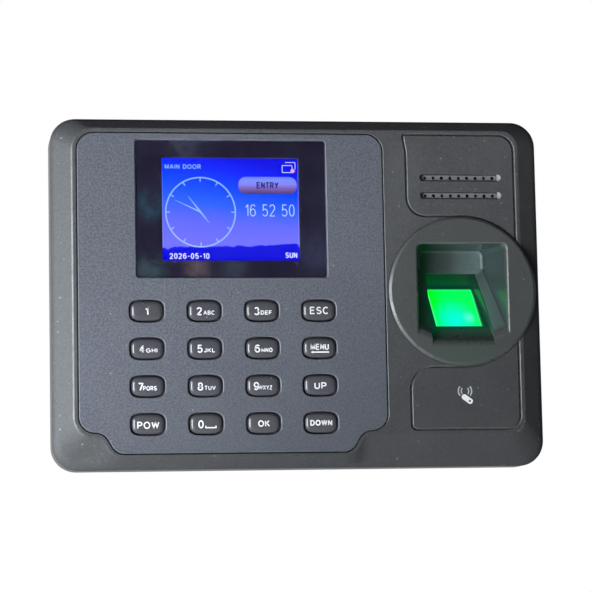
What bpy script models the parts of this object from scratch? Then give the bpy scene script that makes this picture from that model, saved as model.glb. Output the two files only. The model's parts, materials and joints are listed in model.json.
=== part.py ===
"""Wall-mounted fingerprint terminal: two-part housing, keypad faceplate, display, sensor and boards.

Metres, +Z up.  The terminal faces -Y, the wall is the plane Y = 0 and the origin is the middle of
the wall plate's back face.  X is to the right for someone who stands in front of it.
"""

import math

import bmesh
import bpy

# Clearances
FIT = 0.0003            # between faces that seat on one another
PANEL_GAP = 0.0004      # visible line round the faceplate
KEY_GAP = 0.0006        # between a key and its hole
SCREW_GAP = 0.0003      # round a screw's shank

# Depths, counted back from the front face to the wall
TERMINAL_DEPTH = 0.0380
BEVEL_DEPTH = 0.0045
EDGE_SOFTNESS = 0.0008
FACEPLATE_THICKNESS = 0.0025
FRONT_SHELL_DEPTH = 0.0180
SHELL_LAP = 0.0030

# Front housing border
BEVEL_SIDE = 0.0090
BEVEL_END = 0.0047
LIP = 0.0017
OUTER_RADIUS = 0.0105
HOUSING_WALL = 0.0024
LEDGE = 0.0030
DIVIDER = 0.01005
COLUMN_WIDTH = 0.0465
COLUMN_RADIUS = 0.0054
GROOVE_WIDTH = 0.0009
GROOVE_DEPTH = 0.0011

# Keypad faceplate
KEY_COLUMNS = 4
KEY_ROWS = 4
KEY_PITCH_X = 0.02398
KEY_PITCH_Z = 0.01562
KEY_HOLE_WIDTH = 0.0146
KEY_HOLE_HEIGHT = 0.0095
KEY_SIDE_MARGIN = 0.02113
KEY_FOOT_MARGIN = 0.0075
WINDOW_TO_KEYS = 0.0092
WINDOW_TOP_MARGIN = 0.0030
PANEL_RADIUS = 0.0073
NOTCH_HEIGHT = 0.0088
NOTCH_RUN = 0.0102
NOTCH_SLOPE = math.radians(60)
NOTCH_CORNER = 0.0067
NOTCH_SWEEP = 0.0060
POST_RADIUS = 0.0025
POST_INSET = 0.0090
POST_FOOT = 0.0200

# Keys
KEY_SQUARENESS = 3.4
KEY_POINTS = 16
KEY_PROUD = 0.0004
KEY_EDGE = 0.0009
KEY_CROWN_INSET = 0.0020
KEY_CROWN_DROP = 0.00014
KEY_FLANGE = 0.0006
KEY_FLANGE_THICKNESS = 0.0008
KEY_STEM_LENGTH = 0.0008
KEY_STEM_SHARE = 0.55
KEY_TRAVEL = 0.0012

# Display
WINDOW_WIDTH = 0.0799
WINDOW_HEIGHT = 0.0578
WINDOW_THICKNESS = 0.0008
WINDOW_SINK = 0.0001
WINDOW_RADIUS = 0.0012
LCD_VIEW_WIDTH = 0.0600
LCD_VIEW_HEIGHT = 0.0456
LCD_WIDTH = 0.0692
LCD_HEIGHT = 0.0500
LCD_GLASS = 0.0012
LCD_FRAME_WALL = 0.0008

# Keypad electronics
BOARD_THICKNESS = 0.0016
BOARD_LAP = 0.0018
BOARD_CORNER = 0.0120
MAT_THICKNESS = 0.0008
MAT_MARGIN = 0.0025
DOME_BASE_RADIUS = 0.0040
DOME_TOP_RADIUS = 0.0028

# Finger sensor
SENSOR_SHIFT = 0.0004
DISC_RADIUS = 0.0316
DISC_HEIGHT = 0.0002
DISC_PROUD = 0.0015
DISC_DEPTH = 0.0052
DISC_CHAMFER = 0.0014
RECESS_HALF_WIDTH = 0.0193
RECESS_TOP = 0.0201
RECESS_DRAFT = math.radians(12)
RECESS_CORNER = 0.0026
CHUTE_WALL = 0.0015
CHUTE_DEPTH = 0.0310
STOP_DEPTH = 0.0195
STOP_HEIGHT = 0.0103
FLOOR_RUNOUT = 0.02195
FLOOR_TILT = math.radians(47)
FLOOR_WALL = 0.0020
FLOOR_LENGTH = 0.0399
FLOOR_LIP = 0.0046
RAIL_HEIGHT = 0.0035
TROUGH_HALF_WIDTH = 0.0135
TROUGH_DRAFT = math.radians(3)
PLATEN_WIDTH = 0.0202
PLATEN_LENGTH = 0.0273
PLATEN_START = 0.0114
PLATEN_SINK = 0.0004
OPTICS_HALF_WIDTH = 0.0140
OPTICS_DEPTH = 0.0314
OPTICS_DROP = 0.0049
CAMERA_DROP = 0.0083
LENS_RADIUS = 0.0047
LED_BOARD_THICKNESS = 0.0010

# Speaker
SPEAKER_RADIUS = 0.0140
SPEAKER_DISC_ROOM = 0.0011
SPEAKER_RIM = 0.0020
SPEAKER_CONE_DEPTH = 0.0034
SPEAKER_WALL = 0.0008
SPEAKER_FOAM = 0.0011
CONE_FILM = 0.0004
CONE_GAP = 0.0006
MAGNET_RADIUS = 0.0080
MAGNET_DEPTH = 0.0040
SLOT_LENGTH = 0.0349
SLOT_HEIGHT = 0.0029
SLOT_PITCH = 0.0076
SLOT_DEPTH = 0.0009
SLOT_DROP = 0.0184
HOLE_COUNT = 9
HOLE_PITCH = 0.00364
HOLE_SHIFT = 0.0005
HOLE_RADIUS = 0.00063
SPEAKER_SWEEP = 0.0078
PANEL_FLARE = 0.0013
PANEL_FLARE_TIP = 0.0006
PANEL_FLARE_LENGTH = 0.0080
PANEL_FLARE_RADIUS = 0.0130
SPEAKER_DISC_GAP = 0.00035

# Card reader
CARD_DISC_GAP = 0.0010
CARD_SWEEP = 0.0076
CARD_CORNER = 0.0011
CARD_PANEL_FOOT = 0.0584
CARD_BOARD_WIDTH = 0.0400
CARD_BOARD_HEIGHT = 0.0210
CARD_BOARD_THICKNESS = 0.0010
COIL_WIDTH = 0.0040
COIL_THICKNESS = 0.0006

# Rear cover and wall plate
REAR_WALL = 0.0022
REAR_FLOOR = 0.0024
REAR_CHAMFER = 0.0030
PLATE_THICKNESS = 0.0012
PLATE_WIDTH = 0.1400
PLATE_HEIGHT = 0.1000
PLATE_RADIUS = 0.0040
PLATE_RECESS_GAP = 0.0010
HOOK_WIDTH = 0.0100
HOOK_TIP = 0.0040
HOOK_SPAN_X = 0.1000
HOOK_SPAN_Z = 0.0600
WALL_HOLE_RADIUS = 0.0023
WALL_HOLE_SPAN_X = 0.0800
WALL_HOLE_SPAN_Z = 0.0400
LOCK_X = 0.0150
LOCK_TAB_WIDTH = 0.0160
LOCK_TAB_DEPTH = 0.0110
LOCK_POCKET = 0.0015
LOCK_HEAD_RADIUS = 0.0027
LOCK_HEAD_THICKNESS = 0.0009
LOCK_LENGTH = 0.0080

# Housing screws
BOSS_INSET = 0.0100
BOSS_RADIUS = 0.0040
FRONT_BOSS_LENGTH = 0.0120
SHANK_RADIUS = 0.00145
SHANK_LENGTH = 0.0120
HEAD_RADIUS = 0.0027
HEAD_THICKNESS = 0.0020
HEAD_SEAT = 0.0030

# Main board and its sockets
MAIN_BOARD_WIDTH = 0.1160
MAIN_BOARD_HEIGHT = 0.0860
MAIN_BOARD_EDGE = 0.0024
MAIN_BOARD_LIFT = 0.0138
BOARD_GAP = 0.0006
STANDOFF_RADIUS = 0.0030
STANDOFF_INSET = 0.0060
NETWORK_X = -0.0600
NETWORK_SIZE = (0.0160, 0.0133, 0.0213)
NETWORK_MOUTH = (0.0118, 0.0080, 0.0150)
USB_X = -0.0320
USB_SIZE = (0.0145, 0.0072, 0.0140)
USB_MOUTH = (0.0125, 0.0051, 0.0100)
USB_TONGUE = 0.0017
USB_TONGUE_GAP = 0.0006
JACK_X = -0.0100
JACK_SIZE = (0.0090, 0.0110, 0.0140)
JACK_MOUTH_RADIUS = 0.0031
JACK_MOUTH_DEPTH = 0.0093
JACK_PIN_RADIUS = 0.0010
SOCKET_SETBACK = 0.0005
CONTACT_SETBACK = 0.0010
PROCESSOR_SIZE = 0.0300
PROCESSOR_THICKNESS = 0.0030
PROCESSOR_CORNER = 0.0012
CELL_RADIUS = 0.0100
CELL_THICKNESS = 0.0032
CELL_INSET = 0.0230
HOLDER_WALL = 0.0008
RIBBON_WIDTH = 0.0220
RIBBON_THICKNESS = 0.0004
RIBBON_RISE = 0.0060
RIBBON_STEPS = 10
RIBBON_SOCKET = (0.0260, 0.0024, 0.0050)
CABLE_RADIUS = 0.0008
CABLE_LIFT = 0.0040
CABLE_STEPS = 16

# Places that follow from the sizes above
PANEL_WIDTH = 2 * KEY_SIDE_MARGIN + (KEY_COLUMNS - 1) * KEY_PITCH_X + KEY_HOLE_WIDTH
KEYPAD_HEIGHT = (KEY_ROWS - 1) * KEY_PITCH_Z + KEY_HOLE_HEIGHT
PANEL_HEIGHT = (WINDOW_TOP_MARGIN + WINDOW_HEIGHT + WINDOW_TO_KEYS
                + KEYPAD_HEIGHT + KEY_FOOT_MARGIN)
BODY_WIDTH = 2 * (BEVEL_SIDE + LIP) + PANEL_WIDTH + DIVIDER + COLUMN_WIDTH
BODY_HEIGHT = 2 * (BEVEL_END + LIP) + PANEL_HEIGHT
PANEL_LEFT = -BODY_WIDTH / 2 + BEVEL_SIDE + LIP
PANEL_RIGHT = PANEL_LEFT + PANEL_WIDTH
PANEL_X = (PANEL_LEFT + PANEL_RIGHT) / 2
PANEL_TOP = PANEL_HEIGHT / 2
PANEL_FOOT = -PANEL_HEIGHT / 2
COLUMN_LEFT = PANEL_RIGHT + DIVIDER
COLUMN_RIGHT = COLUMN_LEFT + COLUMN_WIDTH
COLUMN_X = (COLUMN_LEFT + COLUMN_RIGHT) / 2
SENSOR_X = COLUMN_X - SENSOR_SHIFT
WINDOW_Z = PANEL_TOP - WINDOW_TOP_MARGIN - WINDOW_HEIGHT / 2
TOP_ROW_Z = PANEL_TOP - WINDOW_TOP_MARGIN - WINDOW_HEIGHT - WINDOW_TO_KEYS - KEY_HOLE_HEIGHT / 2
SPEAKER_Z = DISC_HEIGHT + DISC_RADIUS + SPEAKER_DISC_ROOM + SPEAKER_RADIUS

FRONT = -TERMINAL_DEPTH
BEVEL_EDGE = FRONT + BEVEL_DEPTH
FACEPLATE_BACK = FRONT + FACEPLATE_THICKNESS
LEDGE_FRONT = FACEPLATE_BACK + FIT
FLANGE_FRONT = FACEPLATE_BACK + FIT
FLANGE_BACK = FLANGE_FRONT + KEY_FLANGE_THICKNESS
STEM_END = FLANGE_BACK + KEY_STEM_LENGTH
MAT_FRONT = STEM_END + FIT + KEY_TRAVEL + FIT
MAT_BACK = MAT_FRONT + MAT_THICKNESS
BOARD_FRONT = MAT_BACK + FIT
DECK_BACK = BOARD_FRONT - FIT
PARTING = FRONT + FRONT_SHELL_DEPTH
BOARD_BACK = BOARD_FRONT + BOARD_THICKNESS
DISC_FRONT = FRONT - DISC_PROUD
DISC_BACK = DISC_FRONT + DISC_DEPTH
PLATE_FRONT = -PLATE_THICKNESS
RECESS_FLOOR = PLATE_FRONT - FIT
REAR_BACK = -FIT
REAR_INNER = RECESS_FLOOR - REAR_FLOOR
REAR_INSET = HOUSING_WALL + FIT
REAR_HALF_X = BODY_WIDTH / 2 - REAR_INSET
REAR_HALF_Z = BODY_HEIGHT / 2 - REAR_INSET
REAR_FOOT_Z = -REAR_HALF_Z
BOSS_X = BODY_WIDTH / 2 - BOSS_INSET
BOSS_Z = BODY_HEIGHT / 2 - BOSS_INSET
FRONT_BOSS_END = DECK_BACK + FRONT_BOSS_LENGTH
REAR_BOSS_END = FRONT_BOSS_END + FIT
MAIN_BOARD_BACK = REAR_INNER - MAIN_BOARD_LIFT - FIT
MAIN_BOARD_FRONT = MAIN_BOARD_BACK - BOARD_THICKNESS
MAIN_BOARD_X = PANEL_X
MAIN_BOARD_FOOT = REAR_FOOT_Z + REAR_WALL + MAIN_BOARD_EDGE
MAIN_BOARD_Z = MAIN_BOARD_FOOT + MAIN_BOARD_HEIGHT / 2
LOCK_Y = RECESS_FLOOR - LOCK_TAB_DEPTH / 2
LOCK_TAB_TOP = REAR_FOOT_Z + LOCK_POCKET - FIT
LOCK_TAB_FOOT = LOCK_TAB_TOP - PLATE_THICKNESS

# Facets and points round curves
ARC_STEPS = 5
CORNER_STEPS = 3
DISC_SIDE_STEPS = 8
FLOOR_LIP_STEPS = 4
RECESS_CORNER_STEPS = 3
LEFT_STEP_POINTS = 16
RIGHT_STEP_POINTS = 9
DISC_FACETS = 56
WIDE_FACETS = 24
BOSS_FACETS = 16
SCREW_FACETS = 14
POST_FACETS = 10
HOLE_FACETS = 6

KEY_NAMES = (
    ("key_1", "key_2", "key_3", "key_escape"),
    ("key_4", "key_5", "key_6", "key_menu"),
    ("key_7", "key_8", "key_9", "key_up"),
    ("key_power", "key_0", "key_ok", "key_down"),
)


def clear_scene():
    for thing in list(bpy.data.objects):
        bpy.data.objects.remove(thing, do_unlink=True)


def finish_of(name, colour, roughness, metallic=0.0):
    material = bpy.data.materials.get(name) or bpy.data.materials.new(name)
    material.use_nodes = True
    shader = material.node_tree.nodes["Principled BSDF"]
    shader.inputs["Base Color"].default_value = (*colour, 1.0)
    shader.inputs["Roughness"].default_value = roughness
    shader.inputs["Metallic"].default_value = metallic
    return material


def finishes():
    return {
        "housing": finish_of("dark_abs", (0.060, 0.064, 0.068), 0.45),
        "faceplate": finish_of("grained_abs", (0.085, 0.088, 0.100), 0.55),
        "key": finish_of("key_rubber", (0.045, 0.044, 0.052), 0.40),
        "mat": finish_of("silicone", (0.30, 0.30, 0.31), 0.70),
        "window": finish_of("black_acrylic", (0.010, 0.009, 0.018), 0.08),
        "lcd": finish_of("lcd_glass", (0.05, 0.08, 0.55), 0.15),
        "steel": finish_of("plated_steel", (0.60, 0.60, 0.58), 0.35, 1.0),
        "board": finish_of("board_green", (0.020, 0.120, 0.045), 0.50),
        "socket": finish_of("socket_black", (0.020, 0.020, 0.022), 0.45),
        "prism": finish_of("green_prism", (0.02, 0.80, 0.25), 0.05),
        "optics": finish_of("optics_black", (0.012, 0.012, 0.012), 0.60),
        "magnet": finish_of("speaker_steel", (0.30, 0.30, 0.31), 0.40, 0.9),
        "cone": finish_of("speaker_paper", (0.035, 0.033, 0.030), 0.85),
        "foam": finish_of("foam_black", (0.025, 0.025, 0.025), 0.95),
        "copper": finish_of("coil_copper", (0.72, 0.35, 0.17), 0.35, 1.0),
        "ribbon": finish_of("ribbon_film", (0.75, 0.74, 0.70), 0.45),
        "cable": finish_of("cable_sleeve", (0.05, 0.05, 0.05), 0.60),
    }


def meeting(a, b, c, d):
    """Where the line a-b meets the line c-d."""
    run = (b[0] - a[0], b[1] - a[1])
    other = (d[0] - c[0], d[1] - c[1])
    cross = run[0] * other[1] - run[1] * other[0]
    along = ((c[0] - a[0]) * other[1] - (c[1] - a[1]) * other[0]) / cross
    return (a[0] + along * run[0], a[1] + along * run[1])


def corner_arcs(corners, grow=0.0, steps=ARC_STEPS):
    """One list of points for each (u, v, radius) corner of an outline, pushed outwards by grow.

    The corners run anticlockwise.  An outer corner's radius grows with the outline and an inner
    corner's shrinks, so every grown outline stays parallel to the first one.
    """
    count = len(corners)
    sides = []
    for i in range(count):
        a = corners[i]
        b = corners[(i + 1) % count]
        length = math.hypot(b[0] - a[0], b[1] - a[1])
        out = ((b[1] - a[1]) / length * grow, (a[0] - b[0]) / length * grow)
        sides.append(((a[0] + out[0], a[1] + out[1]), (b[0] + out[0], b[1] + out[1])))
    arcs = []
    for i in range(count):
        before = sides[i - 1]
        after = sides[i]
        tip = meeting(*before, *after)
        heading = math.atan2(before[1][1] - before[0][1], before[1][0] - before[0][0])
        leaving = math.atan2(after[1][1] - after[0][1], after[1][0] - after[0][0])
        turn = (leaving - heading + math.pi) % (2 * math.pi) - math.pi
        outer = turn > 0
        radius = corners[i][2] + (grow if outer else -grow)
        if corners[i][2] <= 0 or radius <= 0:
            arcs.append([tip])
            continue
        reach = radius * math.tan(abs(turn) / 2)
        start = (tip[0] - reach * math.cos(heading), tip[1] - reach * math.sin(heading))
        side = 1 if outer else -1
        centre = (start[0] - side * radius * math.sin(heading),
                  start[1] + side * radius * math.cos(heading))
        first = heading - side * math.pi / 2
        arcs.append([(centre[0] + radius * math.cos(first + turn * k / steps),
                      centre[1] + radius * math.sin(first + turn * k / steps))
                     for k in range(steps + 1)])
    return arcs


def outline(corners, grow=0.0, steps=ARC_STEPS):
    return [point for arc in corner_arcs(corners, grow, steps) for point in arc]


def box_corners(left, foot, right, top, radius=0.0):
    return [(left, foot, radius), (right, foot, radius), (right, top, radius), (left, top, radius)]


def centred_corners(x, z, width, height, radius=0.0):
    return box_corners(x - width / 2, z - height / 2, x + width / 2, z + height / 2, radius)


def circle(x, z, radius, count):
    return [(x + radius * math.cos(2 * math.pi * k / count),
             z + radius * math.sin(2 * math.pi * k / count)) for k in range(count)]


def spread(path, count):
    """count points at even distances along a path of points."""
    lengths = [0.0]
    for a, b in zip(path, path[1:]):
        lengths.append(lengths[-1] + math.hypot(b[0] - a[0], b[1] - a[1]))
    points = []
    for k in range(count):
        goal = lengths[-1] * k / (count - 1)
        i = 0
        while i < len(path) - 2 and lengths[i + 1] < goal:
            i += 1
        step = (goal - lengths[i]) / (lengths[i + 1] - lengths[i])
        points.append(tuple(path[i][n] + step * (path[i + 1][n] - path[i][n]) for n in (0, 1)))
    return points


def facing_y(points, y):
    return [(x, y, z) for x, z in points]


def facing_x(points, x):
    return [(x, y, z) for y, z in points]


def facing_z(points, z):
    return [(x, y, z) for x, y in points]


def new_object(name, mesh_maker):
    mesh = bpy.data.meshes.new(name)
    shape = bmesh.new()
    mesh_maker(shape)
    bmesh.ops.recalc_face_normals(shape, faces=shape.faces)
    shape.to_mesh(mesh)
    shape.free()
    thing = bpy.data.objects.new(name, mesh)
    bpy.context.scene.collection.objects.link(thing)
    return thing


def skin(shape, rings, closed=False):
    """Faces through rings of equal count, with flat ends unless the rings close on themselves."""
    loops = [[shape.verts.new(point) for point in ring] for ring in rings]
    pairs = list(zip(loops, loops[1:]))
    if closed:
        pairs.append((loops[-1], loops[0]))
    for low, high in pairs:
        for i in range(len(low)):
            j = (i + 1) % len(low)
            shape.faces.new((low[i], low[j], high[j], high[i]))
    if not closed:
        shape.faces.new(loops[0])
        shape.faces.new(loops[-1])


def loft(name, rings):
    return new_object(name, lambda shape: skin(shape, rings))


def lofts(name, stacks):
    """Several lofted solids that stand apart, as one cutter or one set of studs."""
    def make(shape):
        for rings in stacks:
            skin(shape, rings)
    return new_object(name, make)


def slab(name, points, y0, y1):
    return loft(name, [facing_y(points, y0), facing_y(points, y1)])


def slabs(name, outlines, y0, y1):
    return lofts(name, [[facing_y(points, y0), facing_y(points, y1)] for points in outlines])


def bar_x(name, profile, x0, x1):
    return loft(name, [facing_x(profile, x0), facing_x(profile, x1)])


def bar_z(name, points, z0, z1):
    return loft(name, [facing_z(points, z0), facing_z(points, z1)])


def block(name, x0, x1, y0, y1, z0, z1):
    return slab(name, outline(box_corners(x0, z0, x1, z1)), y0, y1)


def turned_y(name, x, z, profile, count):
    """A solid or ring turned about a line along Y; the profile is a closed list of (radius, y)."""
    rings = [facing_y(circle(x, z, radius, count), y) for radius, y in profile]
    return new_object(name, lambda shape: skin(shape, rings, closed=True))


def combine(target, tool, operation):
    change = target.modifiers.new(operation.lower(), "BOOLEAN")
    change.operation = operation
    change.solver = "EXACT"
    change.object = tool
    graph = bpy.context.evaluated_depsgraph_get()
    made = bpy.data.meshes.new_from_object(target.evaluated_get(graph))
    target.modifiers.clear()
    target.data = made
    made.name = target.name
    bpy.data.objects.remove(tool, do_unlink=True)
    return target


def carve(target, *tools):
    for tool in tools:
        combine(target, tool, "DIFFERENCE")
    return target


def fuse(target, *tools):
    for tool in tools:
        combine(target, tool, "UNION")
    return target


def dress(thing, material, smooth=False):
    thing.data.materials.clear()
    thing.data.materials.append(material)
    if smooth:
        thing.data.shade_smooth()
        thing.data.set_sharp_from_angle(angle=math.radians(35))
    return thing


def move_origin(thing, x, y, z):
    """Puts a moving piece's origin on its slide axis without moving the piece."""
    for vertex in thing.data.vertices:
        vertex.co.x -= x
        vertex.co.y -= y
        vertex.co.z -= z
    thing.location = (x, y, z)


def panel_corners():
    """Faceplate outline: square-topped, with an S-shaped step at each lower corner."""
    step = PANEL_FOOT + NOTCH_HEIGHT
    slope_run = NOTCH_HEIGHT / math.tan(NOTCH_SLOPE)
    inner = NOTCH_RUN + slope_run
    return [
        (PANEL_LEFT, PANEL_TOP, PANEL_RADIUS),
        (PANEL_LEFT, step, NOTCH_CORNER),
        (PANEL_LEFT + NOTCH_RUN, step, NOTCH_SWEEP),
        (PANEL_LEFT + inner, PANEL_FOOT, NOTCH_SWEEP),
        (PANEL_RIGHT - inner, PANEL_FOOT, NOTCH_SWEEP),
        (PANEL_RIGHT - NOTCH_RUN, step, NOTCH_SWEEP),
        (PANEL_RIGHT, step, NOTCH_CORNER),
        (PANEL_RIGHT, PANEL_TOP, PANEL_RADIUS),
    ]


def island_corners():
    """Flat front of the housing inside its bevel: the faceplate's foot line, then the column's."""
    panel = panel_corners()
    step = PANEL_FOOT + NOTCH_HEIGHT
    return panel[:6] + [(COLUMN_RIGHT, step, COLUMN_RADIUS), (COLUMN_RIGHT, PANEL_TOP, COLUMN_RADIUS)]


def housing_rings():
    """The front face's edge and the housing's outer edge, with matching points."""
    half_x = BODY_WIDTH / 2
    half_z = BODY_HEIGHT / 2
    island = corner_arcs(island_corners(), LIP)
    rim = corner_arcs([(-half_x, half_z, OUTER_RADIUS), (-half_x, -half_z, OUTER_RADIUS),
                       (half_x, -half_z, OUTER_RADIUS), (half_x, half_z, OUTER_RADIUS)])
    left_step = island[1] + island[2] + island[3]
    right_step = island[4] + island[5]
    pairs = [
        (island[0], rim[0], ARC_STEPS + 1),
        (left_step, [(-half_x, left_step[0][1])] + rim[1] + [(left_step[-1][0], -half_z)],
         LEFT_STEP_POINTS),
        (right_step, [(right_step[0][0], -half_z), (right_step[-1][0], -half_z)], RIGHT_STEP_POINTS),
        (island[6], rim[2], ARC_STEPS + 1),
        (island[7], rim[3], ARC_STEPS + 1),
    ]
    inner = [point for path, _, count in pairs for point in spread(path, count)]
    outer = [point for _, path, count in pairs for point in spread(path, count)]
    return inner, outer


def disc_side(gap, upwards):
    """Corners along the disc's right side at a distance from it, from the column's edge or to it."""
    radius = DISC_RADIUS + gap
    edge = math.acos((COLUMN_RIGHT - SENSOR_X) / radius)
    side = 1 if upwards else -1
    angles = [side * (edge + (math.pi / 2 - edge) * k / DISC_SIDE_STEPS) for k in range(DISC_SIDE_STEPS + 1)]
    corners = [(SENSOR_X + radius * math.cos(a), DISC_HEIGHT + radius * math.sin(a), 0.0) for a in angles]
    return corners[::-1] if upwards else corners


def speaker_panel_corners():
    """Speaker panel outline; its foot touches the sensor disc and follows it to the right."""
    foot = DISC_HEIGHT + DISC_RADIUS + SPEAKER_DISC_GAP
    return [
        (COLUMN_LEFT - PANEL_FLARE, PANEL_TOP, PANEL_FLARE_TIP),
        (COLUMN_LEFT, PANEL_TOP - PANEL_FLARE_LENGTH, PANEL_FLARE_RADIUS),
        (COLUMN_LEFT, foot, SPEAKER_SWEEP),
        *disc_side(SPEAKER_DISC_GAP, True),
        (COLUMN_RIGHT, PANEL_TOP, COLUMN_RADIUS),
    ]


def card_panel_top():
    return DISC_HEIGHT - DISC_RADIUS - CARD_DISC_GAP


def card_panel_corners():
    return [
        (COLUMN_LEFT, card_panel_top(), CARD_SWEEP),
        (COLUMN_LEFT, -CARD_PANEL_FOOT, CARD_CORNER),
        (COLUMN_RIGHT, -CARD_PANEL_FOOT, COLUMN_RADIUS),
        *disc_side(CARD_DISC_GAP, False),
    ]


def groove(name, corners):
    half = GROOVE_WIDTH / 2
    floor = FRONT + GROOVE_DEPTH
    ring = slab(name, outline(corners, half), FRONT - GROOVE_DEPTH, floor)
    core = slab(name + "_core", outline(corners, -half), FRONT - 2 * GROOVE_DEPTH, floor + GROOVE_DEPTH)
    return carve(ring, core)


def chute_hole_corners(gap):
    half_x = RECESS_HALF_WIDTH + CHUTE_WALL + gap
    half_z = RECESS_TOP + CHUTE_WALL + gap
    return box_corners(SENSOR_X - half_x, DISC_HEIGHT - half_z, SENSOR_X + half_x,
                       DISC_HEIGHT + half_z)


def speaker_hole_places():
    first = COLUMN_X - HOLE_SHIFT - HOLE_PITCH * (HOLE_COUNT - 1) / 2
    for row in range(2):
        z = PANEL_TOP - SLOT_DROP - row * SLOT_PITCH
        for k in range(HOLE_COUNT):
            yield first + k * HOLE_PITCH, z


def slot_outlines():
    for row in range(2):
        z = PANEL_TOP - SLOT_DROP - row * SLOT_PITCH
        yield outline(centred_corners(COLUMN_X, z, SLOT_LENGTH, SLOT_HEIGHT, SLOT_HEIGHT / 2 - FIT), 0.0,
                      CORNER_STEPS)


def boss_places():
    return [(sx * BOSS_X, sz * BOSS_Z) for sx in (-1, 1) for sz in (-1, 1)]


def card_board_z():
    return (card_panel_top() - CARD_PANEL_FOOT) / 2


def front_housing(finish):
    inner, outer = housing_rings()
    soft = EDGE_SOFTNESS / BEVEL_DEPTH
    eased = [(x + soft * (u - x), z + soft * (v - z)) for (x, z), (u, v) in zip(outer, inner)]
    shell = loft("front_housing", [facing_y(inner, FRONT), facing_y(eased, BEVEL_EDGE - EDGE_SOFTNESS),
                                   facing_y(outer, BEVEL_EDGE + EDGE_SOFTNESS), facing_y(outer, PARTING)])
    half_x = BODY_WIDTH / 2 - HOUSING_WALL
    half_z = BODY_HEIGHT / 2 - HOUSING_WALL
    wall_radius = OUTER_RADIUS - HOUSING_WALL
    beyond = PARTING + SHELL_LAP
    carve(shell, slab("cavity", outline(box_corners(-half_x, -half_z, half_x, half_z, wall_radius)),
                      DECK_BACK, beyond))
    panel = panel_corners()
    carve(
        shell,
        slab("panel_seat", outline(panel, PANEL_GAP / 2), FRONT - LIP, LEDGE_FRONT),
        slab("panel_opening", outline(panel, -LEDGE), FRONT, beyond),
        groove("speaker_groove", speaker_panel_corners()),
        groove("card_groove", card_panel_corners()),
        slab("disc_seat", circle(SENSOR_X, DISC_HEIGHT, DISC_RADIUS + FIT, DISC_FACETS),
             DISC_FRONT - LIP, DISC_BACK + FIT),
        slab("chute_hole", outline(chute_hole_corners(FIT)), FRONT, beyond),
        slab("speaker_pocket", circle(COLUMN_X, SPEAKER_Z, SPEAKER_RADIUS + FIT, WIDE_FACETS),
             FACEPLATE_BACK, beyond),
        slabs("speaker_slots", slot_outlines(), FRONT - LIP, FRONT + SLOT_DEPTH),
        slabs("speaker_holes", [circle(x, z, HOLE_RADIUS, HOLE_FACETS) for x, z in speaker_hole_places()],
              FRONT, FACEPLATE_BACK + FIT),
        slab("card_pocket", outline(centred_corners(COLUMN_X, card_board_z(), CARD_BOARD_WIDTH + 2 * FIT,
                                                    CARD_BOARD_HEIGHT + 2 * FIT)),
             FACEPLATE_BACK, beyond),
    )
    for x, z in boss_places():
        fuse(shell, slab("boss", circle(x, z, BOSS_RADIUS, BOSS_FACETS), DECK_BACK - FIT, FRONT_BOSS_END))
        pilot = FRONT_BOSS_END - SHANK_LENGTH
        carve(shell, slab("pilot", circle(x, z, SHANK_RADIUS + SCREW_GAP, POST_FACETS),
                          pilot, beyond + SHANK_LENGTH))
    return dress(shell, finish["housing"])


def key_places():
    for row in range(KEY_ROWS):
        for column in range(KEY_COLUMNS):
            x = PANEL_X + (column - (KEY_COLUMNS - 1) / 2) * KEY_PITCH_X
            yield KEY_NAMES[row][column], x, TOP_ROW_Z - row * KEY_PITCH_Z


def key_outline(x, z, width, height):
    """Barrel-sided key shape: a squared-off ellipse."""
    points = []
    for k in range(KEY_POINTS):
        angle = 2 * math.pi * (k + 0.5) / KEY_POINTS
        across = math.copysign(abs(math.cos(angle)) ** (2 / KEY_SQUARENESS), math.cos(angle))
        up = math.copysign(abs(math.sin(angle)) ** (2 / KEY_SQUARENESS), math.sin(angle))
        points.append((x + width / 2 * across, z + height / 2 * up))
    return points


def post_places():
    left = PANEL_LEFT + POST_INSET
    right = PANEL_RIGHT - POST_INSET
    for z in (PANEL_TOP - POST_INSET, TOP_ROW_Z + KEY_PITCH_Z / 2, PANEL_FOOT + POST_FOOT):
        yield left, z
        yield right, z


def keypad_faceplate(finish):
    plate = slab("keypad_faceplate", outline(panel_corners(), -PANEL_GAP / 2), FRONT, FACEPLATE_BACK)
    window_floor = FRONT + WINDOW_SINK + WINDOW_THICKNESS + FIT
    carve(
        plate,
        slab("window_recess", outline(centred_corners(PANEL_X, WINDOW_Z, WINDOW_WIDTH, WINDOW_HEIGHT,
                                                      WINDOW_RADIUS), FIT, 2), FRONT - LIP, window_floor),
        slab("view_opening", outline(centred_corners(PANEL_X, WINDOW_Z, LCD_VIEW_WIDTH, LCD_VIEW_HEIGHT)),
             FRONT, FACEPLATE_BACK + LIP),
        slabs("key_holes", [key_outline(x, z, KEY_HOLE_WIDTH, KEY_HOLE_HEIGHT)
                            for _, x, z in key_places()], FRONT - LIP, FACEPLATE_BACK + LIP),
    )
    posts = slabs("posts", [circle(x, z, POST_RADIUS, POST_FACETS) for x, z in post_places()],
                  FACEPLATE_BACK - FIT, BOARD_FRONT - FIT)
    return dress(fuse(plate, posts), finish["faceplate"])


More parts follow.
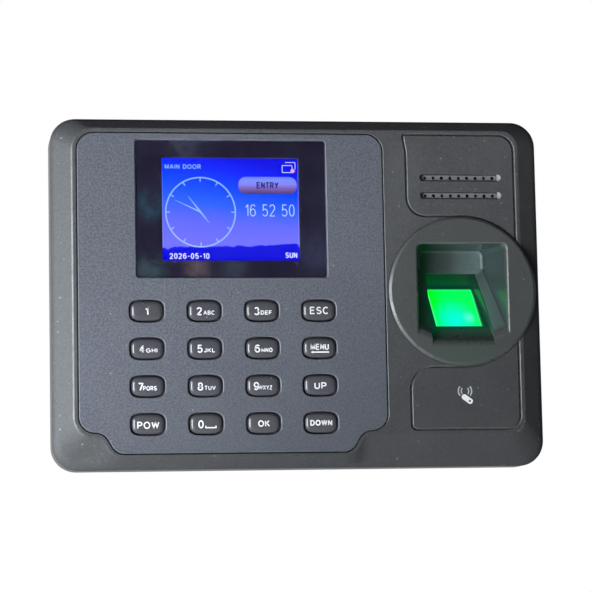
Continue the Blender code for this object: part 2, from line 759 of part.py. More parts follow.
def key(name, x, z, finish):
    """One key: crowned cap, flange behind the faceplate and a stem over its dome."""
    width = KEY_HOLE_WIDTH - 2 * KEY_GAP
    height = KEY_HOLE_HEIGHT - 2 * KEY_GAP
    crown = FRONT - KEY_PROUD

    def ring(y, inset):
        return facing_y(key_outline(x, z, width - 2 * inset, height - 2 * inset), y)

    wide = -KEY_GAP - KEY_FLANGE
    stem = (1 - KEY_STEM_SHARE) * height / 2
    cap = loft(name, [
        ring(crown, KEY_CROWN_INSET),
        ring(crown + KEY_CROWN_DROP, KEY_EDGE),
        ring(crown + KEY_EDGE, 0.0),
        ring(FLANGE_FRONT, 0.0),
        ring(FLANGE_FRONT, wide),
        ring(FLANGE_BACK, wide),
        ring(FLANGE_BACK, stem),
        ring(STEM_END, stem),
    ])
    dress(cap, finish["key"], smooth=True)
    move_origin(cap, x, crown, z)
    return cap


def keypad_mat(finish):
    """Silicone sheet on the front board with a hollow-free dome under each key's stem."""
    half_x = ((KEY_COLUMNS - 1) * KEY_PITCH_X + KEY_HOLE_WIDTH) / 2 + MAT_MARGIN
    foot = TOP_ROW_Z - (KEY_ROWS - 1) * KEY_PITCH_Z - KEY_HOLE_HEIGHT / 2 - MAT_MARGIN
    top = TOP_ROW_Z + KEY_HOLE_HEIGHT / 2 + MAT_MARGIN
    sheet = block("keypad_mat", PANEL_X - half_x, PANEL_X + half_x, MAT_FRONT, MAT_BACK, foot, top)
    domes = lofts("domes", [[facing_y(circle(x, z, DOME_TOP_RADIUS, POST_FACETS), STEM_END + FIT),
                             facing_y(circle(x, z, DOME_BASE_RADIUS, POST_FACETS), MAT_FRONT + FIT)]
                            for _, x, z in key_places()])
    return dress(fuse(sheet, domes), finish["mat"])


def front_board(finish):
    """Board behind the faceplate: its edge laps the housing's ledge and carries keypad and display."""
    corners = panel_corners()
    corners[0] = (*corners[0][:2], BOARD_CORNER)
    board = slab("front_board", outline(corners, -(LEDGE - BOARD_LAP)), BOARD_FRONT, BOARD_BACK)
    return dress(board, finish["board"])


def display(finish):
    front = FRONT + WINDOW_SINK
    window = slab("display_window", outline(centred_corners(PANEL_X, WINDOW_Z, WINDOW_WIDTH, WINDOW_HEIGHT,
                                                            WINDOW_RADIUS), 0.0, 2),
                  front, front + WINDOW_THICKNESS)
    dress(window, finish["window"])
    glass_front = FACEPLATE_BACK + FIT
    glass_back = glass_front + LCD_GLASS
    wall = LCD_FRAME_WALL + FIT
    glass = slab("lcd_panel", outline(centred_corners(PANEL_X, WINDOW_Z, LCD_WIDTH - 2 * wall,
                                                      LCD_HEIGHT - 2 * wall)), glass_front, glass_back)
    dress(glass, finish["lcd"])
    frame = slab("lcd_frame", outline(centred_corners(PANEL_X, WINDOW_Z, LCD_WIDTH, LCD_HEIGHT)),
                 glass_front, BOARD_FRONT - FIT)
    tray = slab("tray", outline(centred_corners(PANEL_X, WINDOW_Z, LCD_WIDTH, LCD_HEIGHT), -LCD_FRAME_WALL),
                glass_front - LIP, glass_back + FIT)
    dress(carve(frame, tray), finish["steel"])


def floor_point(along, above=0.0):
    """(y, z) on the recess floor, counted up the slope from where it leaves the disc's face."""
    y = DISC_FRONT + along * math.sin(FLOOR_TILT) - above * math.cos(FLOOR_TILT)
    z = DISC_HEIGHT - FLOOR_RUNOUT + along * math.cos(FLOOR_TILT) + above * math.sin(FLOOR_TILT)
    return (y, z)


def floor_at_y(y, above):
    """The point at depth y on the plane that lies above (or, if negative, behind) the floor."""
    return meeting(floor_point(0.0, above), floor_point(FLOOR_LENGTH, above), (y, 0.0), (y, 1.0))


def stop_foot():
    return (DISC_FRONT + STOP_DEPTH, DISC_HEIGHT + RECESS_TOP - STOP_HEIGHT)


def rolled_lip(front, above):
    """Points from a plane in front of the disc to the slope above the floor, rolled over the disc's face."""
    reach = FLOOR_LIP * math.tan(FLOOR_TILT / 2)
    y = DISC_FRONT + FLOOR_LIP
    z = floor_at_y(DISC_FRONT, above)[1] - reach
    angles = [FLOOR_TILT * (k + 1) / FLOOR_LIP_STEPS for k in range(FLOOR_LIP_STEPS)]
    return [(front, z)] + [(y - FLOOR_LIP * math.cos(a), z + FLOOR_LIP * math.sin(a)) for a in angles]


def drafted_bar(name, profile, half_width, draft, shape_edges=None):
    """A bar along X through a (y, z) profile whose ends close in with depth behind the disc's face."""
    def make(shape):
        skin(shape, [[(SENSOR_X + side * (half_width - (y - DISC_FRONT) * math.tan(draft)), y, z)
                      for y, z in profile] for side in (-1, 1)])
        if shape_edges:
            shape_edges(shape)
    return new_object(name, make)


def recess_cutter():
    """Finger recess down to its side rails: drafted walls, square stop and an undercut below it."""
    stop = stop_foot()
    top = DISC_HEIGHT + RECESS_TOP
    front = DISC_FRONT - STOP_HEIGHT
    rail_top = meeting(floor_point(0.0, RAIL_HEIGHT), floor_point(FLOOR_LENGTH, RAIL_HEIGHT),
                       stop, floor_point(FLOOR_LENGTH))
    profile = rolled_lip(front, RAIL_HEIGHT) + [rail_top, stop, (stop[0], top), (front, top)]

    def round_ceiling(shape):
        ridge = [edge for edge in shape.edges
                 if all(abs(v.co.z - top) < FIT for v in edge.verts)
                 and abs(edge.verts[0].co.y - edge.verts[1].co.y) > STOP_DEPTH]
        bmesh.ops.bevel(shape, geom=ridge, offset=RECESS_CORNER, segments=RECESS_CORNER_STEPS, profile=0.5,
                        affect="EDGES")
    return drafted_bar("recess", profile, RECESS_HALF_WIDTH, RECESS_DRAFT, round_ceiling)


def trough_cutter():
    stop = stop_foot()
    front = DISC_FRONT - STOP_HEIGHT
    profile = rolled_lip(front, 0.0) + [floor_point(FLOOR_LENGTH), stop, (front, stop[1])]
    return drafted_bar("trough", profile, TROUGH_HALF_WIDTH, TROUGH_DRAFT)


def platen_cutter():
    start = PLATEN_START
    end = PLATEN_START + PLATEN_LENGTH
    reach = 2 * FLOOR_WALL
    profile = [floor_point(start, reach), floor_point(start, -reach),
               floor_point(end, -reach), floor_point(end, reach)]
    return bar_x("platen_window", profile, SENSOR_X - PLATEN_WIDTH / 2, SENSOR_X + PLATEN_WIDTH / 2)


def sensor_bezel(finish):
    """Round bezel and finger guide in one moulding: disc, drafted recess, rails, stop and floor."""
    disc = loft("sensor_bezel", [
        facing_y(circle(SENSOR_X, DISC_HEIGHT, DISC_RADIUS - DISC_CHAMFER, DISC_FACETS), DISC_FRONT),
        facing_y(circle(SENSOR_X, DISC_HEIGHT, DISC_RADIUS, DISC_FACETS), DISC_FRONT + DISC_CHAMFER),
        facing_y(circle(SENSOR_X, DISC_HEIGHT, DISC_RADIUS, DISC_FACETS), DISC_BACK),
    ])
    top = DISC_HEIGHT + RECESS_TOP + CHUTE_WALL
    back = DISC_FRONT + CHUTE_DEPTH
    root = DISC_BACK - DISC_CHAMFER
    profile = [(root, top), floor_at_y(root, -FLOOR_WALL), floor_at_y(back, -FLOOR_WALL), (back, top)]
    half = RECESS_HALF_WIDTH + CHUTE_WALL
    fuse(disc, bar_x("chute", profile, SENSOR_X - half, SENSOR_X + half))
    carve(disc, recess_cutter(), trough_cutter(), platen_cutter())
    return dress(disc, finish["housing"])


def prism_profile(gap):
    face = -PLATEN_SINK
    low = floor_point(PLATEN_START + FIT, face)
    high = floor_point(PLATEN_START + PLATEN_LENGTH - FIT, face)
    return [(low[0] - gap, low[1] - gap), (high[0] + gap, low[1] - gap), (high[0] + gap, high[1] - gap)]


def sensor_prism(finish):
    half = PLATEN_WIDTH / 2 - FIT
    prism = bar_x("sensor_prism", prism_profile(0.0), SENSOR_X - half, SENSOR_X + half)
    return dress(prism, finish["prism"])


def optics_levels():
    """Heights in the optics body: under the prism, over the camera board, and the body's foot."""
    seat = prism_profile(FIT)[0][1]
    ceiling = seat - CAMERA_DROP
    return seat, ceiling, ceiling - OPTICS_DROP


def sensor_body(finish):
    """Black optics body under the sloping floor: prism cradle, light slot, lens bore, camera bay."""
    seat, ceiling, foot = optics_levels()
    front = DECK_BACK + FIT
    back = FRONT + OPTICS_DEPTH
    behind = -FLOOR_WALL - FIT
    crest = floor_at_y(DISC_FRONT + CHUTE_DEPTH - FIT, behind)
    profile = [floor_at_y(front, behind), (front, foot), (back, foot), (back, crest[1]), crest]
    body = bar_x("sensor_body", profile, SENSOR_X - OPTICS_HALF_WIDTH, SENSOR_X + OPTICS_HALF_WIDTH)
    nook = prism_profile(FIT)
    half = PLATEN_WIDTH / 2
    above = DISC_HEIGHT + RECESS_TOP
    cradle = [(nook[0][0], above), nook[0], nook[1], (nook[1][0], above)]
    carve(
        body,
        bar_x("cradle", cradle, SENSOR_X - half, SENSOR_X + half),
        block("light_slot", SENSOR_X - led_half_width() - FIT, SENSOR_X + led_half_width() + FIT,
              led_front() - FIT, led_front() + LED_BOARD_THICKNESS + FIT, seat, above),
        block("light_way", SENSOR_X - LENS_RADIUS, SENSOR_X + LENS_RADIUS,
              nook[1][0] - FIT, led_front(), seat + 2 * FLOOR_WALL, above),
        bar_z("lens_bore", circle(SENSOR_X, lens_y(), LENS_RADIUS + FIT, WIDE_FACETS),
              ceiling - FIT, seat + FIT),
        block("camera_bay", SENSOR_X - led_half_width(), SENSOR_X + led_half_width(),
              front + FLOOR_WALL, back - FLOOR_WALL, foot - FLOOR_WALL, ceiling),
    )
    return dress(body, finish["optics"])


def led_front():
    return prism_profile(FIT)[1][0] + FLOOR_WALL / 2


def led_half_width():
    return OPTICS_HALF_WIDTH - FLOOR_WALL


def lens_y():
    profile = prism_profile(0.0)
    return (profile[0][0] + profile[1][0]) / 2


def sensor_optics(finish):
    seat, ceiling, foot = optics_levels()
    front = DECK_BACK + FIT + FLOOR_WALL + FIT
    back = FRONT + OPTICS_DEPTH - FLOOR_WALL - FIT
    half = OPTICS_HALF_WIDTH - FLOOR_WALL - FIT
    board_top = ceiling - FIT
    board_foot = board_top - BOARD_THICKNESS
    camera = block("sensor_camera_board", SENSOR_X - half, SENSOR_X + half, front, back,
                   board_foot, board_top)
    dress(camera, finish["board"])
    lens_foot = board_top + FIT
    lens_top = seat - FIT
    waist = (lens_foot + lens_top) / 2
    lens = loft("sensor_lens", [
        facing_z(circle(SENSOR_X, lens_y(), LENS_RADIUS, WIDE_FACETS), lens_foot),
        facing_z(circle(SENSOR_X, lens_y(), LENS_RADIUS, WIDE_FACETS), waist),
        facing_z(circle(SENSOR_X, lens_y(), LENS_RADIUS - FLOOR_WALL / 2, WIDE_FACETS), waist),
        facing_z(circle(SENSOR_X, lens_y(), LENS_RADIUS - FLOOR_WALL / 2, WIDE_FACETS), lens_top),
    ])
    dress(lens, finish["optics"], smooth=True)
    crest = floor_at_y(DISC_FRONT + CHUTE_DEPTH - FIT, -FLOOR_WALL - FIT)
    lights = block("sensor_light_board", SENSOR_X - led_half_width(), SENSOR_X + led_half_width(),
                   led_front(), led_front() + LED_BOARD_THICKNESS, seat + FIT, crest[1] - FLOOR_WALL)
    dress(lights, finish["board"])


def speaker_depths():
    """Y of the speaker's foam seat, of its rim and of its throat."""
    seat = FACEPLATE_BACK + FIT
    rim = seat + SPEAKER_FOAM + FIT
    return seat, rim, rim + SPEAKER_CONE_DEPTH + FIT


def speaker(finish):
    seat, rim, throat = speaker_depths()
    inner = SPEAKER_RADIUS - SPEAKER_RIM
    neck = MAGNET_RADIUS - SPEAKER_RIM
    foam_back = seat + SPEAKER_FOAM
    gasket = turned_y("speaker_gasket", COLUMN_X, SPEAKER_Z, [
        (SPEAKER_RADIUS, seat), (SPEAKER_RADIUS, foam_back), (inner, foam_back), (inner, seat)], WIDE_FACETS)
    dress(gasket, finish["foam"])
    shoulder = throat + SPEAKER_WALL

    def ring(radius, y):
        return facing_y(circle(COLUMN_X, SPEAKER_Z, radius, WIDE_FACETS), y)

    frame = loft("speaker_frame", [
        ring(neck, throat), ring(inner, rim), ring(SPEAKER_RADIUS, rim),
        ring(SPEAKER_RADIUS, rim + SPEAKER_WALL), ring(MAGNET_RADIUS, shoulder),
        ring(MAGNET_RADIUS, shoulder + MAGNET_DEPTH)])
    dress(frame, finish["magnet"], smooth=True)
    bottom = throat - CONE_GAP
    cone = loft("speaker_cone", [
        ring(neck / 2, bottom - 2 * CONE_FILM), ring(neck - CONE_GAP, bottom - CONE_FILM),
        ring(inner - CONE_GAP, rim - CONE_FILM), ring(inner - CONE_GAP, rim), ring(neck - CONE_GAP, bottom)])
    dress(cone, finish["cone"], smooth=True)


def card_reader(finish):
    z = card_board_z()
    front = FACEPLATE_BACK + FIT
    back = front + CARD_BOARD_THICKNESS
    board = slab("card_antenna_board", outline(centred_corners(COLUMN_X, z, CARD_BOARD_WIDTH,
                                                               CARD_BOARD_HEIGHT)), front, back)
    dress(board, finish["board"])
    corners = centred_corners(COLUMN_X, z, CARD_BOARD_WIDTH - COIL_WIDTH, CARD_BOARD_HEIGHT - COIL_WIDTH,
                              COIL_WIDTH)
    coil_back = back + FIT + COIL_THICKNESS
    coil = slab("card_antenna_coil", outline(corners, 0.0, CORNER_STEPS), back + FIT, coil_back)
    core = slab("core", outline(corners, -COIL_WIDTH / 2, CORNER_STEPS), back, coil_back + FIT)
    dress(carve(coil, core), finish["copper"])


def rear_corners(inset):
    return box_corners(-REAR_HALF_X + inset, -REAR_HALF_Z + inset, REAR_HALF_X - inset, REAR_HALF_Z - inset,
                       OUTER_RADIUS - REAR_INSET - min(inset, REAR_WALL))


def plate_corners(grow):
    """Plate outline with the neck of its lock tab running down past the rear cover's foot."""
    left = -PLATE_WIDTH / 2 - grow
    right = PLATE_WIDTH / 2 + grow
    top = PLATE_HEIGHT / 2 + grow
    foot = -PLATE_HEIGHT / 2 - grow
    neck_left = LOCK_X - LOCK_TAB_WIDTH / 2 - grow
    neck_right = LOCK_X + LOCK_TAB_WIDTH / 2 + grow
    neck_foot = LOCK_TAB_FOOT - (BODY_HEIGHT if grow else 0.0)
    return [
        (left, top, PLATE_RADIUS), (left, foot, PLATE_RADIUS), (neck_left, foot, 0.0),
        (neck_left, neck_foot, 0.0), (neck_right, neck_foot, 0.0), (neck_right, foot, 0.0),
        (right, foot, PLATE_RADIUS), (right, top, PLATE_RADIUS),
    ]


def hook_places():
    for sx in (-1, 1):
        for sz in (-1, 1):
            yield sx * HOOK_SPAN_X / 2, sz * HOOK_SPAN_Z / 2


def standoff_places():
    half_x = MAIN_BOARD_WIDTH / 2 - STANDOFF_INSET
    half_z = MAIN_BOARD_HEIGHT / 2 - STANDOFF_INSET
    return [(MAIN_BOARD_X + sx * half_x, MAIN_BOARD_Z + sz * half_z) for sx in (-1, 1) for sz in (-1, 1)]


def socket_box(x, size):
    """A socket's box on the back of the main board: x0, x1, y0, y1, z0, z1, mouth facing down."""
    front = MAIN_BOARD_BACK + FIT
    foot = REAR_FOOT_Z + SOCKET_SETBACK
    return (x - size[0] / 2, x + size[0] / 2, front, front + size[1], foot, foot + size[2])


def rear_cover(finish):
    rim = PARTING - SHELL_LAP
    cover = loft("rear_cover", [
        facing_y(outline(rear_corners(0.0), 0.0, CORNER_STEPS), rim),
        facing_y(outline(rear_corners(0.0), 0.0, CORNER_STEPS), REAR_BACK - REAR_CHAMFER),
        facing_y(outline(rear_corners(REAR_CHAMFER), 0.0, CORNER_STEPS), REAR_BACK),
    ])
    carve(
        cover,
        slab("tray", outline(rear_corners(REAR_WALL), 0.0, CORNER_STEPS), rim - SHELL_LAP, REAR_INNER),
        slab("plate_recess", outline(plate_corners(PLATE_RECESS_GAP)), RECESS_FLOOR, REAR_BACK + LIP),
    )
    tower = REAR_INNER + FIT
    for x, z in boss_places():
        fuse(cover, slab("boss", circle(x, z, BOSS_RADIUS, BOSS_FACETS), REAR_BOSS_END, tower))
        carve(cover, slab("head_hole", circle(x, z, HEAD_RADIUS + SCREW_GAP, SCREW_FACETS),
                          REAR_BOSS_END + HEAD_SEAT, REAR_BACK + LIP))
        carve(cover, slab("shank_hole", circle(x, z, SHANK_RADIUS + SCREW_GAP, POST_FACETS), rim, REAR_BACK))
    fuse(cover, slabs("standoffs", [circle(x, z, STANDOFF_RADIUS, POST_FACETS) for x, z in standoff_places()],
                      MAIN_BOARD_BACK + FIT, tower))
    lock_top = REAR_FOOT_Z + REAR_WALL + LOCK_LENGTH
    fuse(cover, block("lock_boss", LOCK_X - BOSS_RADIUS, LOCK_X + BOSS_RADIUS, LOCK_Y - BOSS_RADIUS, tower,
                      REAR_FOOT_Z + REAR_WALL / 2, lock_top))
    pocket_half = LOCK_TAB_WIDTH / 2 + PLATE_RECESS_GAP
    pocket_front = RECESS_FLOOR - LOCK_TAB_DEPTH - PLATE_RECESS_GAP
    pocket_top = REAR_FOOT_Z + LOCK_POCKET
    pad_half = pocket_half + REAR_WALL
    fuse(cover, block("pocket_pad", LOCK_X - pad_half, LOCK_X + pad_half, pocket_front - REAR_WALL, tower,
                      REAR_FOOT_Z + REAR_WALL / 2, pocket_top + REAR_WALL))
    carve(cover, block("lock_pocket", LOCK_X - pocket_half, LOCK_X + pocket_half, pocket_front,
                       REAR_BACK + LIP, REAR_FOOT_Z - LIP, pocket_top))
    carve(cover, bar_z("lock_pilot", circle(LOCK_X, LOCK_Y, SHANK_RADIUS + SCREW_GAP, POST_FACETS),
                       REAR_FOOT_Z - LIP, lock_top - REAR_WALL / 2))
    slot_half = HOOK_WIDTH / 2 + PLATE_RECESS_GAP
    slot_drop = HOOK_TIP + PLATE_THICKNESS + PLATE_RECESS_GAP
    for x, z in hook_places():
        carve(cover, block("hook_slot", x - slot_half, x + slot_half, REAR_INNER - LIP, REAR_BACK + LIP,
                           z - slot_drop, z + FIT))
    for x, size in ((NETWORK_X, NETWORK_SIZE), (USB_X, USB_SIZE), (JACK_X, JACK_SIZE)):
        x0, x1, y0, y1, z0, z1 = socket_box(x, size)
        carve(cover, block("port", x0 - FIT, x1 + FIT, y0 - FIT, y1 + FIT, REAR_FOOT_Z - LIP, z1))
    return dress(cover, finish["housing"])


def wall_plate(finish):
    """Pressed steel plate: four upturned hooks, four wall-screw holes and a lock tab at the foot."""
    plate = slab("wall_plate", outline(plate_corners(0.0), 0.0, CORNER_STEPS), PLATE_FRONT, 0.0)
    holes = [circle(sx * WALL_HOLE_SPAN_X / 2, sz * WALL_HOLE_SPAN_Z / 2, WALL_HOLE_RADIUS, BOSS_FACETS)
             for sx in (-1, 1) for sz in (-1, 1)]
    carve(plate, slabs("wall_holes", holes, PLATE_FRONT - LIP, LIP))
    reach = REAR_INNER - FIT
    for x, z in hook_places():
        stem = [(PLATE_FRONT / 2, z), (PLATE_FRONT / 2, z - PLATE_THICKNESS),
                (reach - PLATE_THICKNESS, z - PLATE_THICKNESS), (reach - PLATE_THICKNESS, z + HOOK_TIP),
                (reach, z + HOOK_TIP), (reach, z)]
        fuse(plate, bar_x("hook", stem, x - HOOK_WIDTH / 2, x + HOOK_WIDTH / 2))
    tab = block("tab", LOCK_X - LOCK_TAB_WIDTH / 2, LOCK_X + LOCK_TAB_WIDTH / 2,
                RECESS_FLOOR - LOCK_TAB_DEPTH, PLATE_FRONT / 2, LOCK_TAB_FOOT, LOCK_TAB_TOP)
    fuse(plate, tab)
    carve(plate, bar_z("tab_hole", circle(LOCK_X, LOCK_Y, SHANK_RADIUS + SCREW_GAP, POST_FACETS),
                       LOCK_TAB_FOOT - LIP, LOCK_TAB_TOP + LIP))
    return dress(plate, finish["steel"])


def screws(finish):
    for number, (x, z) in enumerate(boss_places(), start=1):
        seat = REAR_BOSS_END + HEAD_SEAT + FIT
        head = circle(x, z, HEAD_RADIUS, SCREW_FACETS)
        slim = circle(x, z, SHANK_RADIUS, SCREW_FACETS)
        screw = loft(f"housing_screw_{number}", [
            facing_y(slim, FRONT_BOSS_END - SHANK_LENGTH + 2 * SCREW_GAP), facing_y(slim, seat),
            facing_y(head, seat), facing_y(head, seat + HEAD_THICKNESS)])
        dress(screw, finish["steel"], smooth=True)
    under = LOCK_TAB_FOOT - FIT
    slim = circle(LOCK_X, LOCK_Y, SHANK_RADIUS, SCREW_FACETS)
    head = circle(LOCK_X, LOCK_Y, LOCK_HEAD_RADIUS, SCREW_FACETS)
    lock = loft("lock_screw", [
        facing_z(head, under - LOCK_HEAD_THICKNESS), facing_z(head, under), facing_z(slim, under),
        facing_z(slim, REAR_FOOT_Z + LOCK_LENGTH)])
    dress(lock, finish["steel"], smooth=True)


def main_board(finish):
    board = slab("main_board", outline(centred_corners(MAIN_BOARD_X, MAIN_BOARD_Z, MAIN_BOARD_WIDTH,
                                                       MAIN_BOARD_HEIGHT)), MAIN_BOARD_FRONT, MAIN_BOARD_BACK)
    carve(board, slabs("boss_notches", [circle(x, z, BOSS_RADIUS + BOARD_GAP, BOSS_FACETS)
                                        for x, z in boss_places()], PARTING - SHELL_LAP, REAR_BACK))
    dress(board, finish["board"])
    face = MAIN_BOARD_FRONT - FIT
    can = slab("processor_module", outline(centred_corners(MAIN_BOARD_X, MAIN_BOARD_Z, PROCESSOR_SIZE,
                                                           PROCESSOR_SIZE, PROCESSOR_CORNER), 0.0, 1),
               face - PROCESSOR_THICKNESS, face)
    dress(can, finish["steel"])
    x = MAIN_BOARD_X - MAIN_BOARD_WIDTH / 2 + CELL_INSET
    wall = CELL_RADIUS + HOLDER_WALL + FIT
    floor = face - HOLDER_WALL
    holder = slab("cell_holder", circle(x, MAIN_BOARD_Z, wall, WIDE_FACETS), floor - CELL_THICKNESS / 2, face)
    carve(holder, slab("cell_well", circle(x, MAIN_BOARD_Z, CELL_RADIUS + FIT, WIDE_FACETS),
                       floor - CELL_THICKNESS, floor))
    dress(holder, finish["socket"])
    cell = slab("coin_cell", circle(x, MAIN_BOARD_Z, CELL_RADIUS, WIDE_FACETS),
                floor - FIT - CELL_THICKNESS, floor - FIT)
    dress(cell, finish["steel"], smooth=True)


def sockets(finish):
    x0, x1, y0, y1, z0, z1 = socket_box(NETWORK_X, NETWORK_SIZE)
    middle = (y0 + y1) / 2
    network = block("network_socket", x0, x1, y0, y1, z0, z1)
    width, height, depth = NETWORK_MOUTH
    carve(network, block("mouth", NETWORK_X - width / 2, NETWORK_X + width / 2, middle - height / 2,
                         middle + height / 2, z0 - LIP, z0 + depth))
    dress(network, finish["steel"])

    x0, x1, y0, y1, z0, z1 = socket_box(USB_X, USB_SIZE)
    middle = (y0 + y1) / 2
    usb = block("usb_socket", x0, x1, y0, y1, z0, z1)
    width, height, depth = USB_MOUTH
    carve(usb, block("mouth", USB_X - width / 2, USB_X + width / 2, middle - height / 2,
                     middle + height / 2, z0 - LIP, z0 + depth))
    reach = width / 2 - USB_TONGUE_GAP
    under = middle - height / 2 + USB_TONGUE_GAP
    fuse(usb, block("tongue", USB_X - reach, USB_X + reach, under, under + USB_TONGUE,
                    z0 + CONTACT_SETBACK, z0 + depth + FIT))
    dress(usb, finish["steel"])

    x0, x1, y0, y1, z0, z1 = socket_box(JACK_X, JACK_SIZE)
    middle = (y0 + y1) / 2
    jack = block("power_jack", x0, x1, y0, y1, z0, z1)
    floor = z0 + JACK_MOUTH_DEPTH
    carve(jack, bar_z("mouth", circle(JACK_X, middle, JACK_MOUTH_RADIUS, BOSS_FACETS), z0 - LIP, floor))
    fuse(jack, bar_z("pin", circle(JACK_X, middle, JACK_PIN_RADIUS, POST_FACETS), z0 + CONTACT_SETBACK,
                     floor + FIT))
    dress(jack, finish["socket"])


def ribbon(finish):
    """Flat ribbon looping between a socket on each board."""
    width, depth, height = RIBBON_SOCKET
    x = PANEL_X
    foot = MAIN_BOARD_Z + PROCESSOR_SIZE / 2 + height
    front_socket = BOARD_BACK + FIT
    back_socket = MAIN_BOARD_FRONT - FIT
    for name, y0, y1 in (("ribbon_socket_front", front_socket, front_socket + depth),
                         ("ribbon_socket_main", back_socket - depth, back_socket)):
        dress(block(name, x - width / 2, x + width / 2, y0, y1, foot, foot + height), finish["socket"])
    start = foot + height + FIT
    low = front_socket + depth / 2
    high = back_socket - depth / 2
    centre = ((low + high) / 2, start + RIBBON_RISE)
    radius = (high - low) / 2

    def arch(bow):
        angles = [math.pi * k / RIBBON_STEPS for k in range(RIBBON_STEPS + 1)]
        turned = [(centre[0] - bow * math.cos(a), centre[1] + bow * math.sin(a)) for a in angles]
        return [(turned[0][0], start)] + turned + [(turned[-1][0], start)]

    half = RIBBON_THICKNESS / 2
    profile = arch(radius + half) + arch(radius - half)[::-1]
    strip = bar_x("board_ribbon", profile, x - RIBBON_WIDTH / 2, x + RIBBON_WIDTH / 2)
    dress(strip, finish["ribbon"])


def smooth_path(route):
    """Even points on a smooth curve through the route's own points."""
    ends = [route[0]] + route + [route[-1]]
    points = []
    for i in range(CABLE_STEPS + 1):
        place = (len(route) - 1) * i / CABLE_STEPS
        leg = min(int(place), len(route) - 2)
        t = place - leg
        a, b, c, d = ends[leg:leg + 4]
        points.append(tuple(
            0.5 * (2 * b[n] + (c[n] - a[n]) * t + (2 * a[n] - 5 * b[n] + 4 * c[n] - d[n]) * t * t
                   + (3 * b[n] - a[n] - 3 * c[n] + d[n]) * t ** 3) for n in range(3)))
    return points


def cable(name, route, finish):
    curve = bpy.data.curves.new(name, "CURVE")
    curve.dimensions = "3D"
    curve.bevel_depth = CABLE_RADIUS
    curve.bevel_resolution = 1
    curve.use_fill_caps = True
    points = smooth_path(route)
    spline = curve.splines.new("POLY")
    spline.points.add(len(points) - 1)
    for knot, point in zip(spline.points, points):
        knot.co = (*point, 1.0)
    thing = bpy.data.objects.new(name, curve)
    bpy.context.scene.collection.objects.link(thing)
    curve.materials.append(finish["cable"])
    return thing


def cables(finish):
    """Leads from the sensor, the speaker and the card coil to the main board's right-hand end."""
    landing = MAIN_BOARD_FRONT - 2 * FIT
    edge = MAIN_BOARD_X + MAIN_BOARD_WIDTH / 2 - STANDOFF_INSET
    lift = landing - CABLE_LIFT
    ceiling, foot = optics_levels()[1:]
    camera_foot = ceiling - FIT - BOARD_THICKNESS - FIT
    start_x = SENSOR_X - OPTICS_HALF_WIDTH / 2
    row = foot - CABLE_LIFT
    cable("sensor_cable", [
        (start_x, lens_y(), camera_foot), (start_x, lens_y(), row), (COLUMN_LEFT, lift, row - CABLE_LIFT),
        (edge + CABLE_LIFT, lift, row - CABLE_LIFT), (edge, lift / 2 + landing / 2, row - CABLE_LIFT),
        (edge, landing, row - CABLE_LIFT)], finish)
    tag_x = COLUMN_X - SPEAKER_RADIUS + CABLE_RADIUS
    tag_y = speaker_depths()[1] + SPEAKER_WALL + 2 * CABLE_RADIUS
    shelf = MAIN_BOARD_FOOT + MAIN_BOARD_HEIGHT - 2 * STANDOFF_INSET
    cable("speaker_cable", [
        (tag_x, tag_y, SPEAKER_Z), (tag_x, lift, SPEAKER_Z),
        (COLUMN_LEFT - CABLE_LIFT, lift, DISC_HEIGHT + DISC_RADIUS),
        (edge + CABLE_LIFT, lift, shelf + CABLE_LIFT), (edge, lift, shelf), (edge, landing, shelf)], finish)
    coil_x = COLUMN_X - CARD_BOARD_WIDTH / 2 + COIL_WIDTH / 2 + CABLE_RADIUS
    coil_y = FACEPLATE_BACK + CARD_BOARD_THICKNESS + COIL_THICKNESS + 3 * FIT
    cable("antenna_cable", [
        (coil_x, coil_y, card_board_z()), (coil_x, lift - CABLE_LIFT, card_board_z()),
        (COLUMN_LEFT - CABLE_LIFT, lift, card_board_z()), (edge, lift, card_board_z()),
        (edge, landing, card_board_z())], finish)


def build():
    clear_scene()
    finish = finishes()
    front_housing(finish)
    keypad_faceplate(finish)
    for name, x, z in key_places():
        key(name, x, z, finish)
    keypad_mat(finish)
    front_board(finish)
    display(finish)
    sensor_bezel(finish)
    sensor_prism(finish)
    sensor_body(finish)
    sensor_optics(finish)
    speaker(finish)
    card_reader(finish)
    rear_cover(finish)
    wall_plate(finish)
    screws(finish)
    main_board(finish)
    sockets(finish)
    ribbon(finish)
    cables(finish)


build()
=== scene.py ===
import json
import math

import bmesh
import bpy
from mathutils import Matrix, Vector


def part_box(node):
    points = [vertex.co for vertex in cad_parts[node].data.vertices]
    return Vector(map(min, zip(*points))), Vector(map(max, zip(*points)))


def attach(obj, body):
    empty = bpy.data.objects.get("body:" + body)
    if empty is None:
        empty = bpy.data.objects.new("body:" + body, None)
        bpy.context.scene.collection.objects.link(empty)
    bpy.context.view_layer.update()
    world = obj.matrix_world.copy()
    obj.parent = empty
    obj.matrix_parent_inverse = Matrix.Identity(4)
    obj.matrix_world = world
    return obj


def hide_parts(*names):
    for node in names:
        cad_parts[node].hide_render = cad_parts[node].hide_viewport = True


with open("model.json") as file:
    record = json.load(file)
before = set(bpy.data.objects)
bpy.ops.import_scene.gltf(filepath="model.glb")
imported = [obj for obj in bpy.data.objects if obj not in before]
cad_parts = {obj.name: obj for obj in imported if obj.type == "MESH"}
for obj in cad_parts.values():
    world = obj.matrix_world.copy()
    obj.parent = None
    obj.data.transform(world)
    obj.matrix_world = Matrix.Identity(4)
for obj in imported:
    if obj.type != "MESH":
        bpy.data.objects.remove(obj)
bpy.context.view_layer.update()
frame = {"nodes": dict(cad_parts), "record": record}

nodes = frame["nodes"]
terminal = "terminal"
print("frame loaded:", len(nodes), "nodes")


# outlines in the X-Z plane

